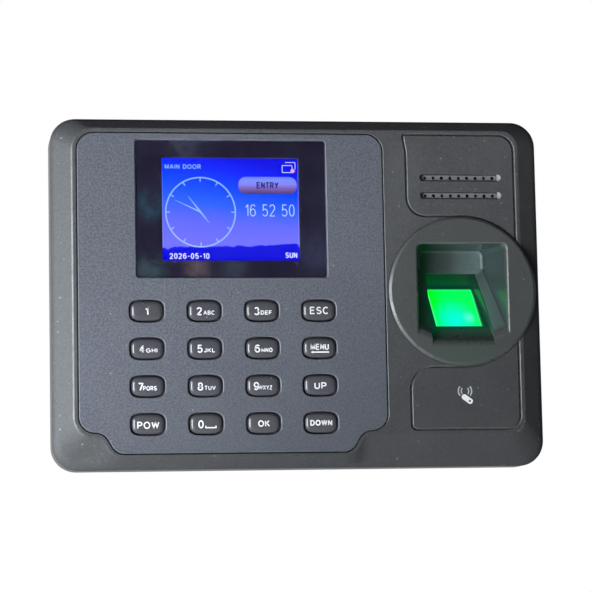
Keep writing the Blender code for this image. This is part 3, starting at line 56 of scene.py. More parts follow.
def lineMeeting(a, b, c, d):
    run = (b[0] - a[0], b[1] - a[1])
    other = (d[0] - c[0], d[1] - c[1])
    cross = run[0] * other[1] - run[1] * other[0]
    along = ((c[0] - a[0]) * other[1] - (c[1] - a[1]) * other[0]) / cross
    return (a[0] + along * run[0], a[1] + along * run[1])


def cornerArcs(corners, grow=0.0, steps=8):
    # one list of points per (x, z, radius) corner, anticlockwise, pushed outwards by grow
    count = len(corners)
    sides = []
    for i in range(count):
        a, b = corners[i], corners[(i + 1) % count]
        length = math.hypot(b[0] - a[0], b[1] - a[1])
        out = ((b[1] - a[1]) / length * grow, (a[0] - b[0]) / length * grow)
        sides.append(((a[0] + out[0], a[1] + out[1]), (b[0] + out[0], b[1] + out[1])))
    arcs = []
    for i in range(count):
        before, after = sides[i - 1], sides[i]
        tip = lineMeeting(*before, *after)
        heading = math.atan2(before[1][1] - before[0][1], before[1][0] - before[0][0])
        leaving = math.atan2(after[1][1] - after[0][1], after[1][0] - after[0][0])
        turn = (leaving - heading + math.pi) % (2 * math.pi) - math.pi
        side = 1 if turn > 0 else -1
        radius = corners[i][2] + side * grow
        if corners[i][2] <= 0 or radius <= 0:
            arcs.append([tip])
            continue
        reach = radius * math.tan(abs(turn) / 2)
        start = (tip[0] - reach * math.cos(heading), tip[1] - reach * math.sin(heading))
        middle = (start[0] - side * radius * math.sin(heading),
                  start[1] + side * radius * math.cos(heading))
        first = heading - side * math.pi / 2
        arcs.append([(middle[0] + radius * math.cos(first + turn * k / steps),
                      middle[1] + radius * math.sin(first + turn * k / steps))
                     for k in range(steps + 1)])
    return arcs


def outline(corners, grow=0.0, steps=8):
    return [point for arc in cornerArcs(corners, grow, steps) for point in arc]


def boxCorners(left, foot, right, top, radius=0.0):
    return [(left, foot, radius), (right, foot, radius), (right, top, radius), (left, top, radius)]


def centredCorners(x, z, width, height, radius=0.0):
    return boxCorners(x - width / 2, z - height / 2, x + width / 2, z + height / 2, radius)


def middleOf(low, high):
    return (low.x + high.x) / 2, (low.z + high.z) / 2


def circlePoints(x, z, radius, count):
    return [(x + radius * math.cos(2 * math.pi * k / count),
             z + radius * math.sin(2 * math.pi * k / count)) for k in range(count)]


def evenPoints(path, count):
    # count points at even distances along a path
    lengths = [0.0]
    for a, b in zip(path, path[1:]):
        lengths.append(lengths[-1] + math.hypot(b[0] - a[0], b[1] - a[1]))
    points = []
    for k in range(count):
        goal = lengths[-1] * k / (count - 1)
        i = 0
        while i < len(path) - 2 and lengths[i + 1] < goal:
            i += 1
        step = (goal - lengths[i]) / (lengths[i + 1] - lengths[i])
        points.append(tuple(path[i][n] + step * (path[i + 1][n] - path[i][n]) for n in (0, 1)))
    return points


def atY(points, y):
    return [(x, y, z) for x, z in points]


# solids

def newPiece(name, maker):
    mesh = bpy.data.meshes.new(name)
    shape = bmesh.new()
    maker(shape)
    bmesh.ops.recalc_face_normals(shape, faces=shape.faces)
    shape.to_mesh(mesh)
    shape.free()
    piece = bpy.data.objects.new(name, mesh)
    bpy.context.scene.collection.objects.link(piece)
    return piece


def skin(shape, rings, closed=False):
    loops = [[shape.verts.new(point) for point in ring] for ring in rings]
    pairs = list(zip(loops, loops[1:]))
    if closed:
        pairs.append((loops[-1], loops[0]))
    for low, high in pairs:
        for i in range(len(low)):
            j = (i + 1) % len(low)
            shape.faces.new((low[i], low[j], high[j], high[i]))
    if not closed:
        shape.faces.new(loops[0])
        shape.faces.new(loops[-1])


def loft(name, rings, closed=False):
    return newPiece(name, lambda shape: skin(shape, rings, closed))


def lofts(name, stacks):
    def make(shape):
        for rings in stacks:
            skin(shape, rings)
    return newPiece(name, make)


def slab(name, points, y0, y1):
    return loft(name, [atY(points, y0), atY(points, y1)])


def barX(name, profile, x0, x1):
    return loft(name, [[(x, y, z) for y, z in profile] for x in (x0, x1)])


def combine(target, tool, operation):
    change = target.modifiers.new(operation.lower(), "BOOLEAN")
    change.operation = operation
    change.solver = "EXACT"
    change.object = tool
    graph = bpy.context.evaluated_depsgraph_get()
    made = bpy.data.meshes.new_from_object(target.evaluated_get(graph))
    target.modifiers.clear()
    target.data = made
    bpy.data.objects.remove(tool, do_unlink=True)
    return target


def carve(target, *tools):
    for tool in tools:
        combine(target, tool, "DIFFERENCE")
    return target


def fuse(target, *tools):
    for tool in tools:
        combine(target, tool, "UNION")
    return target


def roundOver(size, steps, first=0.0):
    # (inset, depth) pairs down a quarter round, from a first share of its turn
    angles = [(first + (1 - first) * k / steps) * math.pi / 2 for k in range(steps + 1)]
    return [(size * (1 - math.sin(a)), size * (1 - math.cos(a))) for a in angles]


def smoothShade(piece, angle=32, lowest=-1.0, deepest=1.0, narrow=0.0007, shallow=0.0009, flat=0.98):
    # narrow faces, the roundings and groove walls, are marked for their rubbed finish
    marks = piece.data.attributes.new("rubbed", "FLOAT", "FACE")
    for face, mark in zip(piece.data.polygons, marks.data):
        corners = [piece.data.vertices[i].co for i in face.vertices]
        around = sum((a - b).length for a, b in zip(corners, corners[1:] + corners[:1]))
        deep = max(corner.y for corner in corners) - min(corner.y for corner in corners)
        thin = 2 * face.area / around < narrow and deep < shallow and abs(face.normal.y) < flat
        mark.value = 1.0 if thin and face.center.z > lowest and face.center.y < deepest else 0.0
    piece.data.shade_smooth()
    piece.data.set_sharp_from_angle(angle=math.radians(angle))
    change = piece.modifiers.new("even shading", "WEIGHTED_NORMAL")
    change.keep_sharp = True
    change.weight = 100
    return piece


def settle(piece, finish, body=terminal, instead=()):
    piece.data.materials.clear()
    piece.data.materials.append(finish.material)
    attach(piece, body)
    if instead:
        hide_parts(*instead)
    return piece


# shader helpers

class Value:
    # an output socket that takes part in sums
    def __init__(self, wire, socket):
        self.wire = wire
        self.socket = socket

    def __add__(self, other):
        return self.wire.math("ADD", self, other)

    def __sub__(self, other):
        return self.wire.math("SUBTRACT", self, other)

    def __rsub__(self, other):
        return self.wire.math("SUBTRACT", other, self)

    def __mul__(self, other):
        return self.wire.math("MULTIPLY", self, other)

    def __lt__(self, other):
        return self.wire.math("LESS_THAN", self, other)

    def __abs__(self):
        return self.wire.math("ABSOLUTE", self)

    def most(self, other):
        return self.wire.math("MAXIMUM", self, other)

    def least(self, other):
        return self.wire.math("MINIMUM", self, other)

    def span(self, fromLow, fromHigh, toLow=0.0, toHigh=1.0, kind="LINEAR"):
        node = self.wire.add("MapRange", interpolation_type=kind)
        for item, socket in zip((self, fromLow, fromHigh, toLow, toHigh), node.inputs):
            self.wire.put(item, socket)
        return Value(self.wire, node.outputs["Result"])

    def ease(self, *ends):
        return self.span(*ends, kind="SMOOTHSTEP")


class Wiring:
    # short calls for adding nodes and links to one node tree
    def __init__(self, tree):
        self.tree = tree

    def put(self, value, socket):
        if isinstance(value, Value):
            self.tree.links.new(value.socket, socket)
        else:
            socket.default_value = (*value, 1.0) if socket.type == "RGBA" else value

    def add(self, kind, **values):
        node = self.tree.nodes.new("ShaderNode" + kind)
        for key, value in values.items():
            if hasattr(node, key):
                setattr(node, key, value)
            else:
                self.put(value, node.inputs[key])
        return node

    def every(self, kind, **values):
        return [Value(self, socket) for socket in self.add(kind, **values).outputs]

    def get(self, output, kind, **values):
        return Value(self, self.add(kind, **values).outputs[output])

    def noise(self, place, scale, detail, **more):
        return self.get(0, "TexNoise", Vector=place, Scale=scale, Detail=detail, **more)

    def place(self):
        return self.every("SeparateXYZ", Vector=self.get("Object", "TexCoord"))

    def math(self, operation, *values, clamp=False):
        node = self.add("Math", operation=operation, use_clamp=clamp)
        for value, socket in zip(values, node.inputs):
            self.put(value, socket)
        return Value(self, node.outputs[0])

    def length(self, first, *others):
        total = self.math("POWER", first, 2.0)
        for other in others:
            total = total + self.math("POWER", other, 2.0)
        return self.math("SQRT", total)

    def mix(self, factor, a, b):
        return self.get("Result", "Mix", data_type="RGBA", Factor=factor, A=a, B=b)

    def ramp(self, value, stops):
        node = self.add("ValToRGB", Fac=value)
        points = node.color_ramp.elements
        while len(points) < len(stops):
            points.new(0.5)
        for point, (place, colour) in zip(points, stops):
            point.position = place
            point.color = (*colour, 1.0)
        return Value(self, node.outputs["Color"])

    def rays(self, first, *others):
        # one for rays of these kinds, nought for the rest
        outputs = self.add("LightPath").outputs
        mask = Value(self, outputs["Is %s Ray" % first])
        for kind in others:
            mask = mask.most(Value(self, outputs["Is %s Ray" % kind]))
        return mask


class Finish(Wiring):
    # a new material with its shader
    def __init__(self, name):
        self.material = bpy.data.materials.new(name)
        self.material.use_nodes = True
        super().__init__(self.material.node_tree)
        self.shader = self.tree.nodes["Principled BSDF"].inputs

    def paint(self, looks):
        for name, value in looks.items():
            self.put(value, self.shader[name])

    def painted(self, name):
        return Value(self, self.shader[name].links[0].from_socket)


def newGroup(name, inputs, outputs):
    group = bpy.data.node_groups.new(name, "ShaderNodeTree")
    for label, value in inputs.items():
        socket = group.interface.new_socket(label, in_out="INPUT", socket_type="NodeSocketFloat")
        socket.default_value = value
    for label in outputs:
        group.interface.new_socket(label, in_out="OUTPUT", socket_type="NodeSocketFloat")
    wire = Wiring(group)
    given = [Value(wire, socket) for socket in group.nodes.new("NodeGroupInput").outputs]
    return wire, given, group.nodes.new("NodeGroupOutput").inputs


# noise and pits of the moulds' spark-eroded grain
spark = {"fineRough": 0.65, "fineShare": 0.7, "pits": 0.6, "pitShare": 0.45, "coarse": 0.42}


def makeGrain():
    wire, given, result = newGroup("spark grain", {"Scale": 2600.0, "Contrast": 0.5}, ["Height", "Mottle"])
    scale, contrast = given[:2]
    place = wire.get("Object", "TexCoord")
    fine = wire.noise(place, scale, 3.0, Roughness=spark["fineRough"])
    pits = wire.get("Distance", "TexVoronoi", Vector=place, Scale=scale * spark["pits"])
    coarse = wire.noise(place, scale * spark["coarse"], 2.0)
    wire.put(fine * spark["fineShare"] + pits * spark["pitShare"], result["Height"])
    wire.put(wire.math("ADD", (coarse - 0.5) * contrast, 0.5, clamp=True), result["Mottle"])
    return wire.tree


# two sizes of speck: how much finer, least size, hard core and strength
dirt = {"kinds": ((1.0, 0.4, 0.35, 1.0), (2.6, 0.6, 0.4, 0.7)), "wobble": 0.0009, "lean": (0.37, 0.53),
        "wobbleScale": 900.0, "facing": (-0.35, -0.75), "cloud": (0.42, 0.75), "cloudScale": 38.0,
        "rubbed": (0.3, 0.6, 0.55, 1.0)}


def makeDust():
    wire, given, result = newGroup("dust and smudges", {"Scale": 160.0, "Share": 0.15, "Size": 0.16},
                                   ["Specks", "Smudge"])
    scale, share, size = given[:3]
    place = wire.get("Object", "TexCoord")
    x, y, z = wire.place()
    leanX, leanZ = dirt["lean"]
    sheet = wire.get(0, "CombineXYZ", X=wire.math("MULTIPLY_ADD", y, leanX, x),
                     Y=wire.math("MULTIPLY_ADD", y, leanZ, z))
    shift = wire.get("Color", "TexNoise", Vector=place, Scale=dirt["wobbleScale"], Detail=1.0)
    bend = wire.add("VectorMath", operation="MULTIPLY_ADD")
    for value, socket in zip((shift, (dirt["wobble"],) * 3, sheet), bend.inputs):
        wire.put(value, socket)
    kinds = []
    bent = Value(wire, bend.outputs[0])
    for finer, least, core, strength in dirt["kinds"]:
        cells = wire.every("TexVoronoi", voronoi_dimensions="2D", Vector=bent, Scale=scale * finer)
        distance, colour = cells[:2]
        chance, extra = wire.every("SeparateColor", Color=colour)[:2]
        reach = size * (extra + least)
        kinds.append((chance < share) * distance.ease(reach, reach * core, 0.0, strength))
    normal = wire.every("SeparateXYZ", Vector=wire.get("Normal", "TexCoord"))
    wire.put(kinds[0].most(kinds[1]) * normal[1].span(*dirt["facing"]), result["Specks"])
    cloud = wire.noise(place, dirt["cloudScale"], 4.0, Roughness=0.6, Distortion=0.4)
    wire.put(cloud.ease(*dirt["cloud"]), result["Smudge"])
    return wire.tree


def makeWear():
    wire, given, result = newGroup("worn edges", {"Scale": 300.0}, ["Wear"])
    patches = wire.noise(wire.get("Object", "TexCoord"), given[0], 2.0)
    rubbed = wire.get("Fac", "Attribute", attribute_name="rubbed")
    wire.put(rubbed * patches.ease(*dirt["rubbed"]), result["Wear"])
    return wire.tree


grain = makeGrain()
dust = makeDust()
wear = makeWear()


def plastic(name, look):
    wire = Finish(name)
    height, mottle = wire.every("Group", node_tree=grain, Scale=look["grainScale"], Contrast=look["mottle"])
    specks, smudge = wire.every("Group", node_tree=dust, Scale=look["speckScale"], Share=look["speckShare"],
                                Size=look["speckSize"])
    tone = wire.mix(mottle, look["dark"], look["light"])
    tone = wire.mix(smudge * look["smudge"], tone, look["haze"])
    tone = wire.mix(specks * look["speckCover"], tone, look["speck"])
    hazed = smudge * look["smudgeRough"] + look["roughness"]
    matt = wire.math("ADD", hazed, specks * look["speckRough"], clamp=True)
    shine = look["gloss"]
    # painted shade: the colour darkens towards the lower right, where less light falls; film is this shade's
    # dark tone
    if look["grime"]:
        x, y, z = wire.place()
        away = x * look["grimeLean"] - z
        tone = wire.mix(away.ease(*look["grimeReach"], 0.0, look["grime"]), tone, look["film"])
    if look["wear"]:
        edge = wire.get("Wear", "Group", node_tree=wear, Scale=look["wearScale"])
        tone = wire.mix(edge * look["wear"], tone, look["haze"])
        matt = matt - edge * look["wearGloss"]
        shine = edge * look["wearShine"] + look["gloss"]
    bump = wire.get(0, "Bump", Strength=look["relief"], Distance=look["reliefDepth"], Height=height)
    wire.paint({"Base Color": tone, "Roughness": matt, "Normal": bump, "Specular IOR Level": shine})
    return wire


def metal(name, look):
    wire = Finish(name)
    place = wire.get("Object", "TexCoord")
    lines = wire.noise(wire.get(0, "Mapping", Vector=place, Scale=look["stretch"]), look["scale"], 4.0)
    blend = lines * 0.5 + wire.noise(place, look["stain"], 3.0) * 0.5
    wire.paint({"Base Color": wire.mix(blend, look["dark"], look["light"]),
                "Roughness": blend.span(*look["spread"], *look["roughness"]),
                "Normal": wire.get(0, "Bump", Strength=look["relief"], Distance=look["reliefDepth"],
                                   Height=lines), "Metallic": 1.0})
    return wire


# finishes

housingLook = {
    "dark": (0.060, 0.060, 0.064), "light": (0.088, 0.088, 0.092), "haze": (0.108, 0.109, 0.110),
    "speck": (0.32, 0.33, 0.33), "grainScale": 2600.0, "mottle": 2.0, "speckScale": 150.0,
    "speckShare": 0.24, "speckSize": 0.055, "speckCover": 0.7, "speckRough": 0.3, "smudge": 0.25,
    "smudgeRough": 0.08, "roughness": 0.44, "relief": 0.35, "reliefDepth": 0.00006, "gloss": 0.35,
    # the last four keys paint shade towards the lower right: its strength, lean, reach and dark tone
    "wear": 0.0, "wearScale": 300.0, "wearGloss": 0.18, "wearShine": 0.5, "grime": 0.0, "grimeLean": 0.6,
    "grimeReach": (-0.035, 0.10), "film": (0.030, 0.031, 0.032),
}
# the shell: edge wear, more dust and smudges, and a painted shade towards the lower right
shellLook = {**housingLook, "wear": 0.6, "grime": 0.58, "speckShare": 0.42, "smudge": 0.40}
faceplateLook = {**housingLook, "dark": (0.082, 0.086, 0.105), "light": (0.130, 0.136, 0.164),
                 "haze": (0.142, 0.149, 0.174), "grainScale": 3000.0, "mottle": 4.0, "roughness": 0.48,
                 "relief": 0.5, "speckShare": 0.10, "wear": 0.5,
                 # a painted shade towards the lower right, and its dark tone
                 "grime": 0.65, "film": (0.054, 0.058, 0.068)}
bezelLook = {**housingLook, "dark": (0.060, 0.064, 0.064), "light": (0.082, 0.086, 0.085), "relief": 0.2,
             "roughness": 0.36, "speckShare": 0.20, "wear": 0.5, "wearGloss": 0.10, "wearShine": 0.42,
             # a painted shade towards the lower right, and its dark tone
             "grime": 0.40, "film": (0.030, 0.036, 0.034)}
keyLook = {**housingLook, "dark": (0.062, 0.060, 0.070), "light": (0.082, 0.080, 0.092),
           "haze": (0.092, 0.091, 0.098), "grainScale": 3200.0, "mottle": 1.2, "relief": 0.10,
           "roughness": 0.19, "speckShare": 0.05, "gloss": 0.8, "coat": 0.8, "coatRough": 0.10}
rearLook = {**housingLook, "relief": 0.5, "grainScale": 1800.0, "speckShare": 0.03}
nylonLook = {**housingLook, "dark": (0.014, 0.014, 0.015), "light": (0.026, 0.026, 0.028), "relief": 0.15,
             "speckShare": 0.0}
rubberLook = {**housingLook, "dark": (0.22, 0.22, 0.23), "light": (0.32, 0.32, 0.33),
              "haze": (0.36, 0.36, 0.36), "roughness": 0.62, "speckShare": 0.04}
glassLook = {**nylonLook, "roughness": 0.12, "relief": 0.02, "gloss": 0.5}
foamLook = {**nylonLook, "roughness": 0.9, "relief": 0.9, "reliefDepth": 0.0003, "grainScale": 1200.0}
filmLook = {**rubberLook, "dark": (0.62, 0.61, 0.57), "light": (0.74, 0.73, 0.69), "haze": (0.7, 0.69, 0.65),
            "relief": 0.1, "roughness": 0.4}
steelLook = {"dark": (0.44, 0.44, 0.43), "light": (0.66, 0.66, 0.64), "roughness": (0.28, 0.5),
             "scale": 700.0, "stretch": (1.0, 1.0, 0.06), "stain": 60.0, "spread": (0.3, 0.7),
             "relief": 0.15, "reliefDepth": 0.00004}
magnetLook = {**steelLook, "dark": (0.20, 0.20, 0.21), "light": (0.34, 0.34, 0.35)}
copperLook = {**steelLook, "dark": (0.52, 0.22, 0.10), "light": (0.78, 0.40, 0.20),
              "stretch": (0.06, 1.0, 1.0)}


laminate = {"ground": (0.016, 0.105, 0.040), "patch": (0.022, 0.135, 0.052), "track": (0.045, 0.190, 0.075),
            "trackScale": 180.0, "weaveScale": 900.0, "spread": (0.3, 0.7), "roughness": (0.3, 0.5)}


def boardFinish():
    wire = Finish("green laminate")
    place = wire.get("Object", "TexCoord")
    tracks = wire.get("Color", "TexBrick", Vector=place, Scale=laminate["trackScale"],
                      Color1=laminate["ground"], Color2=laminate["patch"], Mortar=laminate["track"])
    weave = wire.noise(place, laminate["weaveScale"], 2.0)
    wire.paint({"Base Color": tracks,
                "Roughness": weave.span(*laminate["spread"], *laminate["roughness"])})
    return wire


finishes = {
    "housing": plastic("moulded plastic", housingLook),
    "faceplate": plastic("grained faceplate", faceplateLook),
    "key": plastic("key plastic", keyLook),
    "mat": plastic("silicone", rubberLook),
    "steel": metal("plated steel", steelLook),
    "board": boardFinish(),
    "socket": plastic("black nylon", nylonLook),
    "optics": plastic("optics black", nylonLook),
    "magnet": metal("speaker steel", magnetLook),
    "cone": plastic("speaker paper", foamLook),
    "foam": plastic("gasket foam", foamLook),
    "copper": metal("coil copper", copperLook),
    "ribbon": plastic("ribbon film", filmLook),
    "cable": plastic("cable sleeve", nylonLook),
    "lcd": plastic("display glass", glassLook),
}
finishes["key"].paint({"Coat Weight": keyLook["coat"], "Coat Roughness": keyLook["coatRough"]})
rearFinish = plastic("rear cover plastic", rearLook)
print("finishes made")

# the frame's solids take their slot's finish
slotOf = {entry["node"]: entry["material_slot"] for entry in frame["record"]["subparts"]}
for name, node in nodes.items():
    finish = rearFinish if name == "rear_cover" else finishes.get(slotOf[name])
    if finish:
        node.data.materials.clear()
        node.data.materials.append(finish.material)

# camera at the photograph's viewpoint
view = {"place": (-0.15813, -1.06437, -0.12437), "turn": (96.735, 1.1037, -8.529), "focalPixels": 2508.44,
        "imagePixels": 592, "sensor": 36.0}
camera = bpy.data.cameras.new("photo camera")
camera.sensor_width = view["sensor"]
camera.lens = view["focalPixels"] / view["imagePixels"] * view["sensor"]
viewer = bpy.data.objects.new("photo camera", camera)
viewer.location = view["place"]
viewer.rotation_euler = [math.radians(angle) for angle in view["turn"]]
bpy.context.scene.collection.objects.link(viewer)
bpy.context.scene.camera = viewer

# studio
studio = {
    "floorDrop": 0.90, "floorSize": 6.0, "floorColour": (0.80, 0.80, 0.79), "floorLight": (0.84, 0.84, 0.83),
    "floorGlow": 0.75, "frontLight": (0.16, 0.17, 0.18), "sideLight": (0.09, 0.095, 0.10),
    "skyLight": (0.008, 0.009, 0.025), "backLight": (0.42, 0.43, 0.44), "cardDark": (0.010, 0.010, 0.011),
    "cardLight": (0.016, 0.016, 0.017), "cardCloth": 40.0, "cardRough": 0.9, "floorPaper": 12.0,
    "floorRough": 0.8, "frontFade": (0.2, -0.9), "skyFade": (-0.1, 0.5), "backFade": (0.15, 0.60),
    "target": (0.0, -0.03, 0.0),
}
lamps = {
    "window": {"place": (-0.55, -0.45, 0.00), "size": 0.40, "power": 3.9, "colour": (0.82, 0.94, 1.0),
               "lit": False, "mirrored": True},
    "main": {"place": (-0.46, -0.45, -0.25), "size": 0.30, "power": 7.1, "colour": (0.92, 0.97, 1.0),
             "lit": True, "mirrored": False},
    "low": {"place": (-0.36, -0.80, -0.50), "size": 0.40, "power": 4.2, "colour": (0.95, 1.0, 1.0),
            "lit": True, "mirrored": False},
}
cards = {
    "front": {"place": (0.3, -2.2, 0.3), "size": 4.0, "aim": (0.0, 0.0, 0.0)},
    "top": {"place": (0.0, -0.3, 0.8), "size": 2.4, "aim": (0.0, -0.3, 0.0)},
    "right": {"place": (1.0, -0.3, 0.2), "size": 2.0, "aim": (0.0, -0.3, 0.0)},
    "foot": {"place": (0.0, -0.5, -0.6), "size": 2.0, "aim": (0.0, -0.5, 0.0)},
}


def aimed(thing, place, target):
    thing.location = place
    thing.rotation_mode = "QUATERNION"
    thing.rotation_quaternion = (Vector(target) - Vector(place)).to_track_quat("-Z", "Y")
    bpy.context.scene.collection.objects.link(thing)


def flatSheet(name, size):
    half = size / 2
    corners = [(-half, -half, 0), (half, -half, 0), (half, half, 0), (-half, half, 0)]
    mesh = bpy.data.meshes.new(name)
    mesh.from_pydata(corners, [], [(0, 1, 2, 3)])
    return bpy.data.objects.new(name, mesh)


for name, lamp in lamps.items():
    light = bpy.data.lights.new(name, "AREA")
    light.size = lamp["size"]
    light.energy = lamp["power"]
    light.color = lamp["colour"]
    holder = bpy.data.objects.new(name + " lamp", light)
    holder.visible_camera = False
    holder.visible_diffuse = lamp["lit"]
    holder.visible_glossy = lamp["mirrored"]
    aimed(holder, lamp["place"], studio["target"])

cardFinish = Finish("black card")
cloth = cardFinish.get(0, "TexNoise", Scale=studio["cardCloth"])
cardFinish.paint({"Base Color": cardFinish.mix(cloth, studio["cardDark"], studio["cardLight"]),
                  "Roughness": studio["cardRough"]})
for name, card in cards.items():
    sheet = flatSheet(name + "_card", card["size"])
    aimed(sheet, card["place"], card["aim"])
    sheet.data.materials.append(cardFinish.material)
    sheet.visible_camera = False
    sheet.visible_diffuse = False
    sheet.visible_shadow = False

floor = flatSheet("floor", studio["floorSize"])
floor.location = (0.0, 0.0, -studio["floorDrop"])
bpy.context.scene.collection.objects.link(floor)
floorFinish = Finish("pale floor")
paper = floorFinish.get(0, "TexNoise", Scale=studio["floorPaper"], Detail=3.0)
floorFinish.paint({"Base Color": floorFinish.mix(paper, studio["floorColour"], studio["floorLight"]),
                   "Roughness": studio["floorRough"], "Emission Color": studio["floorColour"],
                   "Emission Strength": floorFinish.rays("Camera", "Glossy", "Transmission")
                   * studio["floorGlow"]})
floor.data.materials.append(floorFinish.material)

# white where it is seen or mirrored, a dim room for the light on the object
world = bpy.data.worlds.new("white surround")
bpy.context.scene.world = world
world.use_nodes = True
around = Wiring(world.node_tree)
towards = around.every("SeparateXYZ", Vector=around.get("Generated", "TexCoord"))
room = around.mix(towards[1].ease(*studio["frontFade"]), studio["sideLight"], studio["frontLight"])
room = around.mix(towards[2].ease(*studio["skyFade"]), room, studio["skyLight"])
room = around.mix(towards[1].ease(*studio["backFade"]), room, studio["backLight"])
around.put(around.mix(around.rays("Camera", "Glossy", "Transmission"), room, (1.0, 1.0, 1.0)),
           world.node_tree.nodes["Background"].inputs["Color"])
bpy.context.scene.view_settings.view_transform = "Standard"
print("studio set")


# the housing's front, with its bevel, lips, grooves, grille and seats

houseLow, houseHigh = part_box("front_housing")
plateLow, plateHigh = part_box("keypad_faceplate")
discLow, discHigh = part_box("sensor_bezel")
front = houseLow.y

shell = {
    "depth": 0.0180, "bevelDepth": 0.0045, "bevelSoftness": 0.0003, "rimSoftness": 0.0013, "lip": 0.0017,
    "outerRadius": 0.0105, "wall": 0.0024, "deckDepth": 0.0070, "panelGap": 0.0004, "ledge": 0.0030,
    "ledgeDepth": 0.0028, "seatEdge": 0.00035, "cornerPoints": 16, "leftStepPoints": 48,
    "rightStepPoints": 28, "columnWidth": 0.0465, "columnRadius": 0.0054, "grooveCorner": 0.0068,
    "grooveWidth": 0.0006, "grooveDepth": 0.0011, "grooveEdge": 0.00055, "slotLength": 0.0349,
    "slotHeight": 0.0029, "slotPitch": 0.0076, "slotDepth": 0.0011, "slotDrop": 0.0184, "slotEdge": 0.00025,
    "slotMouth": 0.0004, "slotSlope": 0.0016, "slotRound": 0.0001, "slotEnds": (1.1, 0.8),
    # the slots' painted tones: a lit floor, shaded walls and a highlight at the right end
    "slotFloorLight": (0.155, 0.155, 0.160), "slotWallShade": (0.022, 0.022, 0.024), "slotEndHighlight": (0.30, 0.30, 0.31),
    "slotDraft": 0.0004, "slotShares": ((0.15, 0.35), (0.90, 0.98), (1.1, 1.3)), "holes": 9,
    "holePitch": 0.00364, "holeShift": 0.0005, "holeRadius": 0.00072, "holeFacets": 18,
    "speakerSweep": 0.0078, "speakerDiscGap": 0.00035,
    "flare": 0.0013, "flareTip": 0.0009, "flareLength": 0.0080, "flareRadius": 0.0130,
    "cardDiscGap": 0.00035, "cardSweep": 0.0095, "cardCorner": 0.0022, "cardFoot": 0.0579,
    "wornFoot": -0.0592, "wornDepth": 0.0025, "discSeatGap": 0.0001, "discSeatDepth": 0.0040,
    "discSeatEdge": 0.00015, "skin": 0.0025, "bossInset": 0.0100, "bossRadius": 0.0040, "bossLength": 0.0120,
    "pilotRadius": 0.00175, "speakerRadius": 0.0143, "cardBoard": (0.0406, 0.0216),
    "chuteHalf": (0.0211, 0.0219), "bevelSteps": 5, "rimSteps": 6, "grooveSteps": 4, "grooveFloorSteps": 6,
    "discSteps": 24, "discSeatFacets": 180, "speakerFacets": 48, "bossFacets": 32, "pilotFacets": 20,
}
panel = {
    "radius": 0.0073, "notchHeight": 0.0088, "notchRun": 0.0102, "notchSlope": math.radians(60),
    "notchCorner": 0.0067, "notchSweep": 0.0060, "arcSteps": 12,
}
halfGap = shell["panelGap"] / 2
panelLeft, panelRight = plateLow.x - halfGap, plateHigh.x + halfGap
panelFoot, panelTop = plateLow.z - halfGap, plateHigh.z + halfGap
columnRight = houseHigh.x - (panelLeft - houseLow.x)
columnLeft = columnRight - shell["columnWidth"]
columnX = (columnLeft + columnRight) / 2
discX, discZ = middleOf(discLow, discHigh)
discRadius = (discHigh.x - discLow.x) / 2
discFront = discLow.y
shellBack = front + shell["depth"] + shell["lip"]
deckBack = front + shell["deckDepth"]


def panelCorners():
    # round-cornered at the top, with an S-shaped step at each lower corner
    step = panelFoot + panel["notchHeight"]
    run = panel["notchRun"]
    inner = run + panel["notchHeight"] / math.tan(panel["notchSlope"])
    sweep, corner, radius = panel["notchSweep"], panel["notchCorner"], panel["radius"]
    return [(panelLeft, panelTop, radius), (panelLeft, step, corner), (panelLeft + run, step, sweep),
            (panelLeft + inner, panelFoot, sweep), (panelRight - inner, panelFoot, sweep),
            (panelRight - run, step, sweep), (panelRight, step, corner), (panelRight, panelTop, radius)]


def spread(stretches):
    # five stretches of an outline, with the same number of points for each outline
    counts = [shell[kind] for kind in ("cornerPoints", "leftStepPoints", "rightStepPoints", "cornerPoints",
                                       "cornerPoints")]
    return [point for stretch, count in zip(stretches, counts) for point in evenPoints(stretch, count)]


def islandRing(grow):
    # the flat front inside the bevel: the faceplate's outline, then the sensor column's
    step = panelFoot + panel["notchHeight"]
    radius = shell["columnRadius"]
    column = [(columnRight, step, radius), (columnRight, panelTop, radius)]
    arcs = cornerArcs(panelCorners()[:6] + column, grow, panel["arcSteps"])
    return spread([arcs[0], arcs[1] + arcs[2] + arcs[3], arcs[4] + arcs[5], arcs[6], arcs[7]])


def rimRing():
    # the housing's outer edge, with a point for each of the island's
    left, right, foot, top = houseLow.x, houseHigh.x, houseLow.z, houseHigh.z
    radius = shell["outerRadius"]
    corners = [(left, top), (left, foot), (right, foot), (right, top)]
    arcs = cornerArcs([(*corner, radius) for corner in corners], 0.0, panel["arcSteps"])
    island = islandRing(shell["lip"])
    stepStart = island[shell["cornerPoints"]]
    footStart = shell["cornerPoints"] + shell["leftStepPoints"]
    stepEnd, footEnd = island[footStart - 1], island[footStart + shell["rightStepPoints"] - 1]
    corner = [(left, stepStart[1])] + arcs[1] + [(stepEnd[0], foot)]
    return spread([arcs[0], corner, [(island[footStart][0], foot), (footEnd[0], foot)], arcs[2], arcs[3]])


def bent(first, turn, last, steps):
    # rings along a curve that leaves the first ring towards the turn and ends in the last
    rings = []
    for k in range(steps + 1):
        t = k / steps
        rings.append([tuple((1 - t) ** 2 * a + 2 * t * (1 - t) * b + t * t * c for a, b, c in zip(p, q, r))
                      for p, q, r in zip(first, turn, last)])
    return rings


def between(first, last, share):
    return [tuple(a + share * (b - a) for a, b in zip(p, q)) for p, q in zip(first, last)]


def discSide(gap, upwards):
    # corners along the disc's right side, from its top or foot to the column's edge
    radius = discRadius + gap
    edge = math.acos((columnRight - discX) / radius)
    side = 1 if upwards else -1
    steps = shell["discSteps"]
    angles = [side * (edge + (math.pi / 2 - edge) * k / steps) for k in range(steps + 1)]
    corners = [(discX + radius * math.cos(a), discZ + radius * math.sin(a), 0.0) for a in angles]
    return corners[::-1] if upwards else corners


